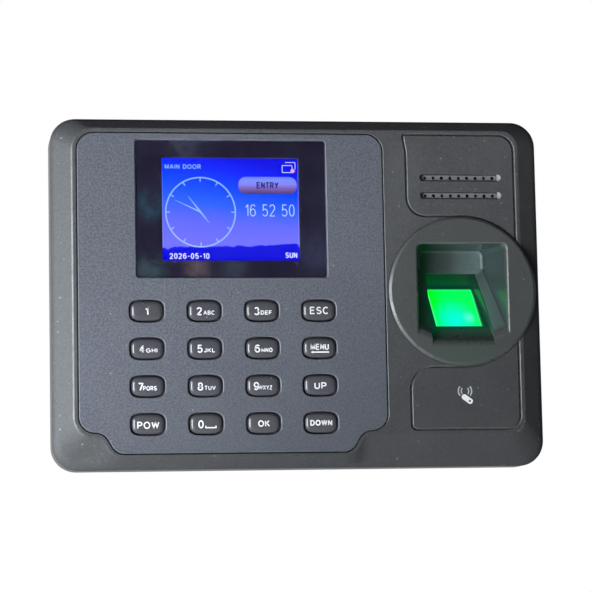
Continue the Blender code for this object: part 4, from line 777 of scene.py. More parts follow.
def speakerPanel():
    foot = discZ + discRadius + shell["speakerDiscGap"]
    return [(columnLeft - shell["flare"], panelTop, shell["flareTip"]),
            (columnLeft, panelTop - shell["flareLength"], shell["flareRadius"]),
            (columnLeft, foot, shell["speakerSweep"]), *discSide(shell["speakerDiscGap"], True),
            (columnRight, panelTop, shell["grooveCorner"])]


def cardPanel():
    top = discZ - discRadius - shell["cardDiscGap"]
    return [(columnLeft, top, shell["cardSweep"]), (columnLeft, -shell["cardFoot"], shell["cardCorner"]),
            (columnRight, -shell["cardFoot"], shell["columnRadius"]), *discSide(shell["cardDiscGap"], False)]


def easedRings(ringAt, depth, rounding, steps=4, first=0.2):
    # rings of a hole's cutter whose mouth is rounded off, from ahead of the housing's front to its floor
    rings = [atY(ringAt(inset), front + sunk) for inset, sunk in roundOver(rounding, steps, first)]
    return [atY(ringAt(rounding), front - rounding), *rings, atY(ringAt(0.0), front + depth)]


def grooveCutter(name, corners):
    # round-bottomed line with eased edges
    half, edge, depth = shell["grooveWidth"] / 2, shell["grooveEdge"], shell["grooveDepth"]
    mouth = [(half + edge, front - edge)]
    mouth += [(half + inset, front + sunk) for inset, sunk in roundOver(edge, shell["grooveSteps"])[1:]]
    steps = shell["grooveFloorSteps"]
    floor = [(half * math.cos(a), front + depth - half + half * math.sin(a))
             for a in [math.pi * k / steps for k in range(steps + 1)]]
    profile = mouth + floor + [(-grow, y) for grow, y in mouth[::-1]]
    return loft(name, [atY(outline(corners, grow, panel["arcSteps"]), y) for grow, y in profile], True)


def makeShell():
    lip, depth = shell["lip"], shell["bevelDepth"]
    deck = atY(islandRing(lip - shell["bevelSoftness"]), front)
    edge = atY(islandRing(lip), front)
    rim = rimRing()
    corner = atY(rim, front + depth)
    soft = shell["bevelSoftness"] / depth
    rimSoft = shell["rimSoftness"] / depth
    rings = bent(deck, edge, between(edge, corner, soft), shell["bevelSteps"])
    side = atY(rim, front + depth + shell["rimSoftness"])
    rings += bent(between(edge, corner, 1 - rimSoft), corner, side, shell["rimSteps"])
    rings.append(atY(rim, front + shell["depth"]))
    body = loft("frontShell", rings)
    wall = shell["wall"]
    inside = outline(boxCorners(houseLow.x + wall, houseLow.z + wall, houseHigh.x - wall, houseHigh.z - wall,
                                shell["outerRadius"] - wall))
    corners = panelCorners()

    def panelSeat(grow):
        return outline(corners, halfGap + grow, panel["arcSteps"])

    def discSeat(grow):
        radius = discRadius + shell["discSeatGap"] + grow
        return circlePoints(discX, discZ, radius, shell["discSeatFacets"])
    carve(body, slab("cavity", inside, deckBack, shellBack),
          loft("panelSeat", easedRings(panelSeat, shell["ledgeDepth"], shell["seatEdge"])),
          slab("panelOpening", outline(corners, -shell["ledge"], panel["arcSteps"]), front, shellBack),
          grooveCutter("speakerGroove", speakerPanel()), grooveCutter("cardGroove", cardPanel()),
          loft("discSeat", easedRings(discSeat, shell["discSeatDepth"], shell["discSeatEdge"])))
    return body


def speakerSlots():
    for row in (0, 1):
        yield columnX, panelTop - shell["slotDrop"] - row * shell["slotPitch"]


def carveGrille(body):
    length, height = shell["slotLength"], shell["slotHeight"]

    def slotRing(x, z, shorter=0.0, lower=0.0):
        radius = height / 2 - lower - shell["slotRound"]
        corners = centredCorners(x, z, length - 2 * shorter, height - 2 * lower, radius)
        return lambda grow: outline(corners, grow)
    slots = lofts("slots", [
        easedRings(slotRing(x, z), shell["slotMouth"], shell["slotEdge"])
        + [atY(slotRing(x, z, shell["slotSlope"], shell["slotDraft"])(0.0), front + shell["slotDepth"])]
        for x, z in speakerSlots()])
    first = -shell["holePitch"] * (shell["holes"] - 1) / 2 - shell["holeShift"]
    through = front + shell["skin"] + shell["lip"]
    rounds = [circlePoints(x + first + k * shell["holePitch"], z, shell["holeRadius"],
                           shell["holeFacets"])
              for x, z in speakerSlots() for k in range(shell["holes"])]
    carve(body, slots, lofts("holes", [[atY(points, front), atY(points, through)] for points in rounds]))


def finishShell(body):
    # pockets behind the skin, the chute's hole and the screw bosses
    skinBack = front + shell["skin"]
    cardTop = discZ - discRadius - shell["cardDiscGap"]
    cardZ = (cardTop - shell["cardFoot"]) / 2
    chuteX, chuteZ = shell["chuteHalf"]
    speakerZ = middleOf(*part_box("speaker_frame"))[1]
    speaker = circlePoints(columnX, speakerZ, shell["speakerRadius"], shell["speakerFacets"])
    chute = outline(boxCorners(discX - chuteX, discZ - chuteZ, discX + chuteX, discZ + chuteZ))
    card = outline(centredCorners(columnX, cardZ, *shell["cardBoard"]))
    carve(body, slab("speakerPocket", speaker, skinBack, shellBack),
          slab("cardPocket", card, skinBack, shellBack), slab("chuteHole", chute, front, shellBack))
    for x in (houseLow.x + shell["bossInset"], houseHigh.x - shell["bossInset"]):
        for z in (houseLow.z + shell["bossInset"], houseHigh.z - shell["bossInset"]):
            end = deckBack + shell["bossLength"]
            boss = circlePoints(x, z, shell["bossRadius"], shell["bossFacets"])
            fuse(body, slab("boss", boss, deckBack - halfGap, end))
            pilot = circlePoints(x, z, shell["pilotRadius"], shell["pilotFacets"])
            carve(body, slab("pilot", pilot, deckBack, end + shell["lip"]))


def shellFinish():
    # painted light and shade in the grille's slots: painted shade on the walls, a floor painted lighter as if
    # it caught more light, and a painted highlight on the right end
    wire = plastic("dark moulded plastic", shellLook)
    x, y, z = wire.place()
    across = x - columnX
    half, depth, slope = shell["slotLength"] / 2, shell["slotDepth"], shell["slotSlope"]
    middle = panelTop - shell["slotDrop"] - shell["slotPitch"] / 2
    level = abs(z - middle) < (shell["slotPitch"] + shell["slotHeight"]) / 2
    sunk, floor, through = [y.span(*(front + depth * share for share in shares))
                            for shares in shell["slotShares"]]
    end = across.ease(*(half - slope * share for share in shell["slotEnds"]))
    tone = wire.mix(floor, shell["slotWallShade"], shell["slotFloorLight"])
    tone = wire.mix(end, tone, shell["slotEndHighlight"])
    inside = (abs(across) < half) * level * (sunk * (1.0 - through))
    wire.paint({"Base Color": wire.mix(inside, wire.painted("Base Color"), tone)})
    return wire


frontShell = makeShell()
carveGrille(frontShell)
finishShell(frontShell)
smoothShade(frontShell, lowest=shell["wornFoot"], deepest=front + shell["wornDepth"])
settle(frontShell, shellFinish(), instead=["front_housing"])
print("front shell:", len(frontShell.data.polygons), "faces")

# keypad faceplate with its window recess and key holes

faceplate = {
    "thickness": 0.0025, "edge": 0.0004, "windowEdge": 0.0002, "windowGap": 0.0003, "windowRadius": 0.0012,
    "windowDepth": 0.0012, "viewOpening": (0.0600, 0.0456), "holeSize": (0.0146, 0.0095), "holeEdge": 0.0005,
    "postRadius": 0.0025, "postInset": 0.0090, "postFoot": 0.0200, "postLength": 0.0048, "postLift": 0.0156,
    "edgeSteps": 4, "windowSteps": 6, "postFacets": 24,
}
keyCap = {
    "size": (0.0134, 0.0083), "squareness": 3.4, "points": 72, "proud": 0.0004, "edge": 0.0017,
    "crownDrop": 0.0001, "crownInset": 0.0024, "flange": 0.0012, "flangeFront": 0.0028, "flangeBack": 0.0036,
    "stem": 0.0019, "stemEnd": 0.0044, "crownFlat": 1.4, "crownBow": 0.15, "edgeStart": 0.12,
    "edgeSteps": 6, "shadeAngle": 50,
}
keyNodes = [name for name in nodes if name.startswith("key_")]
paneLow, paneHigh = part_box("display_window")
paneX, paneZ = middleOf(paneLow, paneHigh)
paneCorners = centredCorners(paneX, paneZ, paneHigh.x - paneLow.x, paneHigh.z - paneLow.z,
                             faceplate["windowRadius"])


def keyMiddle(name):
    return middleOf(*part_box(name))


def keyShape(x, z, width, height):
    # barrel-sided rectangle: a squared-off ellipse
    power = 2 / keyCap["squareness"]
    points = []
    for k in range(keyCap["points"]):
        angle = 2 * math.pi * (k + 0.5) / keyCap["points"]
        c, s = math.cos(angle), math.sin(angle)
        points.append((x + width / 2 * math.copysign(abs(c) ** power, c),
                       z + height / 2 * math.copysign(abs(s) ** power, s)))
    return points


def makeFaceplate():
    corners, edge, steps = panelCorners(), faceplate["edge"], panel["arcSteps"]
    back = front + faceplate["thickness"]
    rings = [atY(outline(corners, -halfGap - inset, steps), front + sunk)
             for inset, sunk in roundOver(edge, faceplate["edgeSteps"])]
    rings.append(atY(outline(corners, -halfGap, steps), back))
    plate = loft("keypadPlate", rings)
    holeWidth, holeHeight = faceplate["holeSize"]

    def holeRing(x, z):
        return lambda grow: keyShape(x, z, holeWidth + 2 * grow, holeHeight + 2 * grow)

    def paneRing(grow):
        return outline(paneCorners, faceplate["windowGap"] + grow, faceplate["windowSteps"])
    opening = outline(centredCorners(paneX, paneZ, *faceplate["viewOpening"]))
    carve(plate,
          loft("paneRecess", easedRings(paneRing, faceplate["windowDepth"], faceplate["windowEdge"])),
          slab("viewOpening", opening, front, back + edge),
          lofts("keyHoles", [easedRings(holeRing(*keyMiddle(name)), faceplate["thickness"] + edge,
                                        faceplate["holeEdge"]) for name in keyNodes]))
    inset = faceplate["postInset"]
    betweenRows = (keyMiddle("key_1")[1] + keyMiddle("key_4")[1]) / 2
    rows = (panelTop - inset, betweenRows + faceplate["postLift"], panelFoot + faceplate["postFoot"])
    posts = [[atY(circlePoints(x, z, faceplate["postRadius"], faceplate["postFacets"]), y)
              for y in (back - edge, back + faceplate["postLength"] - faceplate["thickness"])]
             for x in (panelLeft + inset, panelRight - inset) for z in rows]
    return fuse(plate, lofts("posts", posts))


keypadPlate = makeFaceplate()
settle(smoothShade(keypadPlate), finishes["faceplate"], instead=["keypad_faceplate"])
print("faceplate:", len(keypadPlate.data.polygons), "faces")


def makeKey(name):
    x, z = keyMiddle(name)
    width, height = keyCap["size"]
    crown = front - keyCap["proud"]
    inset, drop = keyCap["crownInset"], keyCap["crownDrop"]

    def ring(inset, y):
        return atY(keyShape(x, z, width - 2 * inset, height - 2 * inset), y)
    rings = [ring(inset * keyCap["crownFlat"], crown), ring(inset, crown + drop * keyCap["crownBow"])]
    rings += [ring(inward, crown + drop + sunk)
              for inward, sunk in roundOver(keyCap["edge"], keyCap["edgeSteps"], keyCap["edgeStart"])]
    flange, stem = keyCap["flange"], keyCap["stem"]
    for inward, depth in ((0.0, "flangeFront"), (-flange, "flangeFront"), (-flange, "flangeBack"),
                          (stem, "flangeBack"), (stem, "stemEnd")):
        rings.append(ring(inward, front + keyCap[depth]))
    return loft("cap_" + name[4:], rings)


for name in keyNodes:
    settle(smoothShade(makeKey(name), keyCap["shadeAngle"]), finishes["key"], name, [name])
print("keys:", len(keyNodes))


# sensor bezel: disc, drafted finger recess, stop, rails and sloping floor

bezel = {
    "chamfer": 0.0012, "chamferDepth": 0.0008, "chamferEdge": 0.00025, "discDepth": 0.0052,
    "halfWidth": 0.0193, "top": 0.0201, "draft": math.radians(12), "corner": 0.0026, "chuteWall": 0.0015,
    "chuteDepth": 0.0310, "stopDepth": 0.0245, "stopHeight": 0.0097, "runout": 0.02195,
    "tilt": math.radians(47), "floorWall": 0.0020, "floorLength": 0.0399, "floorLip": 0.0046, "lipSteps": 12,
    "railHeight": 0.0011, "troughHalf": 0.0135, "troughDraft": math.radians(6.4), "platenWidth": 0.0202,
    "platenLength": 0.0273, "platenStart": 0.0114, "platenSink": 0.0004, "platenGap": 0.0003,
    "softEdge": 0.0010, "softAngle": math.radians(24), "softRim": 0.0020, "softBack": 0.0005, "facets": 180,
    "mouthEdge": 0.0011, "mouthFade": 0.0040, "mouthStart": 0.2, "stopEdge": 0.0012,
    "railFace": (-0.0196, -0.0166), "railStop": (0.0088, 0.0150), "railEase": 0.0016, "railDrop": 0.0012,
    # the recess's painted light and shade: its tones, the near-black painted shade (inner) and the platen's
    # painted green glow
    "railStart": 0.00003, "railReach": 0.0020, "paintedGlow": (0.0, 0.046, 0.019), "paintedGlowReach": 0.0088,
    "inner": (0.010, 0.014, 0.013), "paintedWallShade": (0.034, 0.050, 0.050), "paintedStopLight": (0.132, 0.176, 0.176),
    "paintedRailLight": (0.078, 0.112, 0.106), "railRim": 0.0004, "paintedRimHighlight": (0.105, 0.155, 0.145),
    "shadeGlow": (0.0, 0.0085, 0.0022), "wallGloss": 0.14, "paintedLipShade": (0.054, 0.070, 0.062),
    "chamferSteps": 4, "mouthSteps": 6, "sideSteps": 3, "stopSteps": 5, "railSteps": 6, "softSegments": 3,
    "weld": 0.00002, "flatAngle": math.radians(1), "shadeAngle": 40,
}
# where each painted light and shade tone of the recess fades in, and how strongly
blends = {
    "within": (-0.0006, -0.0001), "under": -0.0005, "dark": (0.0040, 0.0100, 0.0, 0.85),
    "walls": (0.0010, 0.0032), "inner": (0.0, 0.0006), "outer": (0.0001, 0.0007), "lower": -0.0010,
    "rim": 0.8, "deep": (0.0003, 0.0015), "lip": (-0.0143, -0.0172, 0.0, 0.85),
    "shade": (-0.0060, -0.0130), "shadeMost": 0.7,
}


def floorPoint(along, above=0.0):
    # (y, z) on the recess floor, counted up the slope from the disc's face
    tilt = bezel["tilt"]
    return (discFront + along * math.sin(tilt) - above * math.cos(tilt),
            discZ - bezel["runout"] + along * math.cos(tilt) + above * math.sin(tilt))


def floorAtY(y, above):
    return lineMeeting(floorPoint(0.0, above), floorPoint(bezel["floorLength"], above), (y, 0.0), (y, 1.0))


def rolledLip(ahead, above):
    # from a plane in front of the disc to the slope above the floor, rolled over the disc's face
    roll, tilt, steps = bezel["floorLip"], bezel["tilt"], bezel["lipSteps"]
    y = discFront + roll
    z = floorAtY(discFront, above)[1] - roll * math.tan(tilt / 2)
    angles = [tilt * (k + 1) / steps for k in range(steps)]
    return [(ahead, z)] + [(y - roll * math.cos(a), z + roll * math.sin(a)) for a in angles]


def draftedBar(name, profile, half, draft):
    # a bar through a (y, z) profile whose ends close in with depth
    return loft(name, [[(discX + side * (half - (y - discFront) * math.tan(draft)), y, z) for y, z in profile]
                       for side in (-1, 1)])


def lipHeight(depth):
    # the recess's foot between the rails, rolled over the disc's face
    roll, tilt, rail = bezel["floorLip"], bezel["tilt"], bezel["railHeight"]
    if depth > roll * (1 - math.cos(tilt)):
        return floorAtY(discFront + depth, rail)[1]
    angle = math.acos(1 - max(depth, 0.0) / roll)
    return floorAtY(discFront, rail)[1] + roll * (math.sin(angle) - math.tan(tilt / 2))


def recessRing(depth, grow=0.0, inset=0.0):
    half = bezel["halfWidth"] - depth * math.tan(bezel["draft"]) - inset
    wide = half + grow
    foot = lipHeight(depth)
    side = foot + bezel["mouthFade"]
    top = discZ + bezel["top"] + grow - inset
    arcs = cornerArcs(boxCorners(discX - wide, foot, discX + wide, top, bezel["corner"]))
    points = [(discX - half, foot), (discX + half, foot), (discX + wide, side), *arcs[2], *arcs[3]]
    return atY(points + [(discX - wide, side)], discFront + depth)


def recessCutter():
    # drafted recess up to its stop, with a rounded mouth and a rounded end
    edge, end, draft, stop = bezel["mouthEdge"], bezel["stopEdge"], bezel["draft"], bezel["stopDepth"]
    first, steps, sides = bezel["mouthStart"], bezel["mouthSteps"], bezel["sideSteps"]
    rings = []
    for k in range(steps + 1):
        angle = (first + (1 - first) * k / steps) * (math.pi / 2 - draft)
        depth = edge * (1 - math.cos(angle))
        grow = edge * ((1 - math.sin(draft)) / math.cos(draft) - math.sin(angle)) + depth * math.tan(draft)
        if k == 0:
            rings.append(recessRing(-edge, grow))
        rings.append(recessRing(depth, grow))
    lip = bezel["floorLip"] * (1 - math.cos(bezel["tilt"]))
    rings += [recessRing(edge + (lip - edge) * k / sides) for k in range(1, sides + 1)]
    rings += [recessRing(stop - short, 0.0, inset) for short, inset in roundOver(end, bezel["stopSteps"])]
    return loft("recess", rings)


def troughCutter():
    stop = (discFront + bezel["stopDepth"], discZ + bezel["top"] - bezel["stopHeight"])
    ahead = discFront - bezel["stopHeight"]
    profile = rolledLip(ahead, 0.0) + [floorPoint(bezel["floorLength"]), stop, (ahead, stop[1])]
    return draftedBar("trough", profile, bezel["troughHalf"], bezel["troughDraft"])


def makeRails():
    # two rails whose tops lean towards the middle and climb to the stop
    stop, ease, overlap = bezel["stopDepth"], bezel["railEase"], bezel["mouthEdge"]
    steps = bezel["railSteps"]
    depths = [ease * k / steps for k in range(steps + 1)] + [stop / 2, stop + bezel["railReach"]]

    def height(kind, depth):
        face, end = bezel["railFace"][kind], bezel["railStop"][kind]
        rolled = bezel["railDrop"] * (1 - min(depth / ease, 1.0)) ** 2
        return discZ + face + (end - face) * depth / stop - rolled
    stacks = []
    for side in (-1, 1):
        rings = []
        for depth in depths:
            y = discFront + max(depth, bezel["railStart"])
            foot = lipHeight(depth) - overlap
            trough = bezel["troughHalf"] - depth * math.tan(bezel["troughDraft"])
            wall = bezel["halfWidth"] - depth * math.tan(bezel["draft"])
            inner, outer = discX + side * (trough - overlap / 4), discX + side * (wall + overlap)
            rings.append([(inner, y, foot), (outer, y, foot), (outer, y, height(1, depth)),
                          (inner, y, height(0, depth))])
        stacks.append(rings)
    return lofts("rails", stacks)


def platenCutter():
    start, end = bezel["platenStart"], bezel["platenStart"] + bezel["platenLength"]
    reach, half = 2 * bezel["floorWall"], bezel["platenWidth"] / 2
    profile = [floorPoint(*place) for place in ((start, reach), (start, -reach), (end, -reach), (end, reach))]
    return barX("platenWindow", profile, discX - half, discX + half)


def softenEdges(piece, width, keep=lambda edge: True):
    # rounds the sharp edges that keep(edge) accepts
    shape = bmesh.new()
    shape.from_mesh(piece.data)
    bmesh.ops.remove_doubles(shape, verts=shape.verts, dist=bezel["weld"])
    bmesh.ops.dissolve_limit(shape, angle_limit=bezel["flatAngle"], verts=shape.verts, edges=shape.edges)
    sharp = [e for e in shape.edges
             if len(e.link_faces) == 2 and e.calc_face_angle(0.0) > bezel["softAngle"] and keep(e)]
    bmesh.ops.bevel(shape, geom=sharp, offset=width, segments=bezel["softSegments"], profile=0.5,
                    affect="EDGES", clamp_overlap=True)
    shape.to_mesh(piece.data)
    shape.free()


def makeBezel():
    chamfer, edge = bezel["chamfer"], bezel["chamferEdge"]
    back = discFront + bezel["discDepth"]

    def ring(inset, depth):
        return atY(circlePoints(discX, discZ, discRadius - inset, bezel["facets"]), discFront + depth)
    fall, steps = bezel["chamferDepth"], bezel["chamferSteps"]
    part = edge / math.hypot(chamfer, fall)
    rings = bent(ring(chamfer + edge, 0.0), ring(chamfer, 0.0), ring(chamfer * (1 - part), fall * part),
                 steps)
    rings += bent(ring(chamfer * part, fall * (1 - part)), ring(0.0, fall), ring(0.0, fall + edge), steps)
    rings.append(ring(0.0, bezel["discDepth"]))
    disc = loft("fingerBezel", rings)
    top = discZ + bezel["top"] + bezel["chuteWall"]
    chuteBack = discFront + bezel["chuteDepth"]
    root = back - chamfer
    under = -bezel["floorWall"]
    half = bezel["halfWidth"] + bezel["chuteWall"]
    profile = [(root, top), floorAtY(root, under), floorAtY(chuteBack, under), (chuteBack, top)]
    fuse(disc, barX("chute", profile, discX - half, discX + half))
    carve(disc, recessCutter())
    fuse(disc, makeRails())
    carve(disc, troughCutter(), platenCutter())

    def inside(e):
        away = max(math.hypot(v.co.x - discX, v.co.z - discZ) for v in e.verts)
        deep = max(v.co.y for v in e.verts)
        return away < discRadius - bezel["softRim"] and deep < chuteBack - bezel["softBack"]
    softenEdges(disc, bezel["softEdge"], inside)
    return disc


def bezelFinish():
    # painted light and shade in the finger recess: painted shade on the walls and lip, near-black painted
    # shade behind and under the stop and on the left, painted light on the stop and rails, a painted
    # highlight along the rails' rim, and a painted green glow of the platen's light round it
    wire = plastic("bezel plastic", bezelLook)
    x, y, z = wire.place()
    right, ahead, high = x - discX, y - discFront, z - discZ
    aside = abs(right)
    stop, end = bezel["stopDepth"], bezel["stopEdge"]
    ledge = bezel["top"] - bezel["stopHeight"]
    edge = bezel["troughHalf"] - ahead * math.tan(bezel["troughDraft"])
    wall = bezel["halfWidth"] - ahead * math.tan(bezel["draft"])
    within = (edge - aside).ease(*blends["within"])
    under = high.span(ledge, ledge + blends["under"])
    # painted shade under the stop's ledge and behind the stop
    dark = within * ahead.ease(*blends["dark"]) * under
    deep = (ahead - stop).ease(*blends["deep"])
    walls = ahead.ease(*blends["walls"])
    facing = ahead.ease(stop - end, stop - end / 2) * (1.0 - under)
    rails = (aside - edge).ease(*blends["inner"]) * (wall - aside).ease(*blends["outer"])
    railTop, railRim = bezel["railStop"][1], bezel["railRim"]
    lower = rails * high.span(railTop, railTop + blends["lower"])
    rim = abs(right - edge - railRim).ease(railRim, 0.0, 0.0, blends["rim"])
    lip = high.ease(*blends["lip"]) * within
    # painted shadow of the left wall, with a painted green glow in it
    shade = walls * right.ease(*blends["shade"])
    tone = wire.painted("Base Color")
    for mask, colour in ((walls, "paintedWallShade"), (lower * walls, "paintedRailLight"), (rim * walls, "paintedRimHighlight"),
                         (facing, "paintedStopLight"), (deep.most(dark), "inner"), (lip, "paintedLipShade"),
                         (shade * blends["shadeMost"], "inner")):
        tone = wire.mix(mask, tone, bezel[colour])
    # distance from the platen, along the slope, across it and off it
    sine, cosine = math.sin(bezel["tilt"]), math.cos(bezel["tilt"])
    climb = high + bezel["runout"]
    halfLength = bezel["platenLength"] / 2
    along = ahead * sine + climb * cosine - (bezel["platenStart"] + halfLength)
    gaps = (aside - bezel["platenWidth"] / 2, abs(along) - halfLength, climb * sine - ahead * cosine)
    # painted glow of the platen's light on the plastic round it
    paintedGlow = wire.length(*(gap.most(0.0) for gap in gaps)).ease(bezel["paintedGlowReach"], 0.0)
    glow = wire.mix(shade, (0.0, 0.0, 0.0), bezel["shadeGlow"])
    wire.paint({"Base Color": tone, "Roughness": wire.painted("Roughness") - walls * bezel["wallGloss"],
                "Emission Color": wire.mix(paintedGlow, glow, bezel["paintedGlow"]), "Emission Strength": 1.0})
    return wire


fingerBezel = makeBezel()
settle(smoothShade(fingerBezel, bezel["shadeAngle"]), bezelFinish(), instead=["sensor_bezel"])
print("bezel:", len(fingerBezel.data.polygons), "faces")

# lit platen

platen = {
    "sweep": [(0.06, (0.0, 0.95, 0.0)), (0.38, (0.0, 1.0, 0.10))], "slant": 0.12,
    "pools": (((0.0, 1.0, 0.68), (-0.0008, 0.0030), 0.0118, 1.0),
              ((0.12, 1.0, 0.78), (0.0053, 0.0044), 0.0034, 0.7)),
    "rimColour": (0.10, 1.0, 0.40), "rim": (0.0005, 0.0003, 0.0, 0.5), "strength": 1.05, "spill": 0.45,
    "edge": 0.0003, "clean": (0.004, 0.05, 0.015), "smeared": (0.008, 0.07, 0.02), "roughness": (0.25, 0.4),
}


def platenFinish():
    wire = Finish("lit green platen")
    low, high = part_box("sensor_prism")
    x, y, z = wire.place()
    across, down = x.span(low.x, high.x), z.span(high.z, low.z)
    glow = wire.ramp(across + down * platen["slant"], platen["sweep"])
    for colour, (right, up), size, share in platen["pools"]:
        reach = wire.length(x - (discX + right), z - (low.z + up))
        glow = wire.mix(reach.ease(size, 0.0) * share, glow, colour)
    nearest = (x - low.x).least(high.x - x).least(high.z - z)
    rim = nearest.ease(*platen["rim"])
    smear = wire.get("Smudge", "Group", node_tree=dust)
    strength = wire.rays("Camera", "Glossy").span(0.0, 1.0, platen["spill"], platen["strength"])
    wire.paint({"Emission Color": wire.mix(rim, glow, platen["rimColour"]), "Emission Strength": strength,
                "Base Color": wire.mix(smear, platen["clean"], platen["smeared"]),
                "Roughness": smear.span(0.0, 1.0, *platen["roughness"])})
    return wire


def makePlaten():
    face = -bezel["platenSink"]
    low = floorPoint(bezel["platenStart"] + bezel["platenGap"], face)
    high = floorPoint(bezel["platenStart"] + bezel["platenLength"] - bezel["platenGap"], face)
    half = bezel["platenWidth"] / 2 - bezel["platenGap"]
    prism = barX("platenPrism", [low, (high[0], low[1]), high], discX - half, discX + half)
    softenEdges(prism, platen["edge"])
    return prism


settle(smoothShade(makePlaten(), bezel["shadeAngle"]), platenFinish(), instead=["sensor_prism"])
print("platen lit")


# display: clear pane, printed border and lit picture

display = {
    "paneEdge": 0.0002, "borderGap": 0.0002, "borderThickness": 0.00004, "active": (0.0576, 0.0432),
    "borderOpening": (0.0580, 0.0436), "pictureLift": 0.00010, "markLift": 0.00004, "markThickness": 0.00003,
    "glow": 1.0, "cutReach": 0.001, "shimmer": 0.12, "grid": 900.0, "unlit": (0.01, 0.01, 0.012),
    "markRough": 0.3, "paneRound": 0.3, "paneRough": (0.03, 0.10), "paneClear": (0.97, 0.97, 1.0),
    "paneHazed": (0.93, 0.94, 0.98), "paneIndex": 1.16, "paneGloss": 0.2, "shadeAngle": 60,
}
lcdLow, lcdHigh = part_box("lcd_panel")
screenLeft = paneX - display["active"][0] / 2
screenTop = paneZ + display["active"][1] / 2


def paneFinish():
    # its anti-reflection coat is given as a low index
    wire = Finish("clear acrylic")
    haze = wire.get("Smudge", "Group", node_tree=dust)
    wire.paint({"Roughness": haze.span(0.0, 1.0, *display["paneRough"]), "Transmission Weight": 1.0,
                "IOR": display["paneIndex"], "Specular IOR Level": display["paneGloss"],
                "Base Color": wire.mix(haze, display["paneClear"], display["paneHazed"])})
    return wire


# a painted sheen patch, where smudges on the pane catch light, has its place on the screen in millimetres,
# its size and its colour
border = {
    "look": {**housingLook, "dark": (0.0046, 0.0034, 0.0086), "light": (0.0066, 0.0052, 0.0116),
             "haze": (0.012, 0.013, 0.024), "speck": (0.16, 0.17, 0.20), "smudge": 0.5, "speckShare": 0.08,
             "speckScale": 160.0, "relief": 0.02, "roughness": 0.5, "gloss": 0.05},
    "smudgeSheens": ((-5.5, 20.4, 0.010, (0.010, 0.022, 0.032)), (8.4, -5.7, 0.010, (0.020, 0.021, 0.034)),
               (-5.0, 46.5, 0.010, (0.013, 0.021, 0.026)), (13.7, 46.0, 0.008, (0.040, 0.028, 0.030)),
               (64.0, 40.0, 0.010, (0.014, 0.016, 0.030)), (30.0, 47.0, 0.008, (0.013, 0.016, 0.024))),
    "streaks": 160.0, "broken": (0.32, 0.62), "core": 0.2,
}


def screenAt(right, down):
    # a place on the lit picture in millimetres from its top left corner
    return screenLeft + right / 1000, screenTop - down / 1000


def borderFinish():
    # dark print behind the pane, with soft painted sheen patches in a few places where smudges on the pane
    # catch the light
    wire = plastic("border ink", border["look"])
    x, y, z = wire.place()
    streak = wire.noise(wire.get("Object", "TexCoord"), border["streaks"], 4.0, Distortion=0.8)
    broken = streak.ease(*border["broken"])
    tone = wire.painted("Base Color")
    for right, down, size, colour in border["smudgeSheens"]:
        smearX, smearZ = screenAt(right, down)
        reach = wire.length(x - smearX, z - smearZ)
        tone = wire.mix(reach.ease(size, size * border["core"]) * broken, tone, colour)
    wire.paint({"Base Color": tone})
    return wire


def makePane():
    edge, steps = display["paneEdge"], faceplate["windowSteps"]
    part = edge * display["paneRound"]
    places = ((-edge, paneLow.y), (-part, paneLow.y + part), (0.0, paneLow.y + edge), (0.0, paneHigh.y))
    return loft("clearPane", [atY(outline(paneCorners, grow, steps), y) for grow, y in places])


def makeBorder():
    near = paneHigh.y + display["markThickness"]
    far = near + display["borderThickness"]
    printed = outline(paneCorners, -display["borderGap"], faceplate["windowSteps"])
    ink = slab("windowBorder", printed, near, far)
    opening = outline(centredCorners(paneX, paneZ, *display["borderOpening"]))
    return carve(ink, slab("borderHole", opening, near - display["cutReach"], far + display["cutReach"]))


def glowFinish(name, stops, low, high):
    # self-lit colours from the top of a piece to its foot
    wire = Finish(name)
    x, y, z = wire.place()
    grid = wire.get(0, "TexNoise", Scale=display["grid"], Detail=1.0)
    colour = wire.ramp(z.span(high, low) + (grid - 0.5) * display["shimmer"], stops)
    wire.paint({"Emission Color": colour, "Emission Strength": display["glow"],
                "Base Color": display["unlit"], "Roughness": display["markRough"]})
    return wire


picture = {
    "sky": [(0.0, (0.0, 0.0, 0.82)), (0.14, (0.0, 0.012, 1.0)), (0.30, (0.0, 0.062, 1.0)),
            (0.48, (0.022, 0.130, 1.0)), (0.64, (0.125, 0.155, 1.0)), (0.84, (0.185, 0.180, 1.0))],
    "tilt": 0.34, "pivot": (0.55, 0.9), "crestBlur": 0.008, "unlit": (0.004, 0.004, 0.006),
    "roughness": 0.25, "gloss": 0.1,
    "hills": ({"top": 0.870, "rise": 0.070, "scale": 170.0, "lean": 0.030, "colour": (0.004, 0.008, 0.90)},
              {"top": 0.885, "rise": 0.110, "scale": 62.0, "lean": 0.035, "colour": (0.0, 0.0, 0.76)}),
}


def pictureFinish():
    wire = Finish("lit display picture")
    x, y, z = wire.place()
    width, height = display["active"]
    across, down = x.span(screenLeft, screenLeft + width), z.span(screenTop, screenTop - height)
    pivotX, pivotZ = picture["pivot"]
    side = (across - pivotX) * (pivotZ - down)
    colour = wire.ramp(down - side * picture["tilt"], picture["sky"])
    for hill in picture["hills"]:
        wave = wire.get(0, "TexNoise", noise_dimensions="1D", W=x, Scale=hill["scale"], Detail=2.0)
        crest = wave * hill["rise"] + (hill["top"] - hill["rise"] / 2)
        land = (down - (crest - across * hill["lean"])).ease(0.0, picture["crestBlur"])
        colour = wire.mix(land, colour, hill["colour"])
    wire.paint({"Emission Color": colour, "Emission Strength": display["glow"],
                "Base Color": picture["unlit"], "Roughness": picture["roughness"],
                "Specular IOR Level": picture["gloss"]})
    return wire


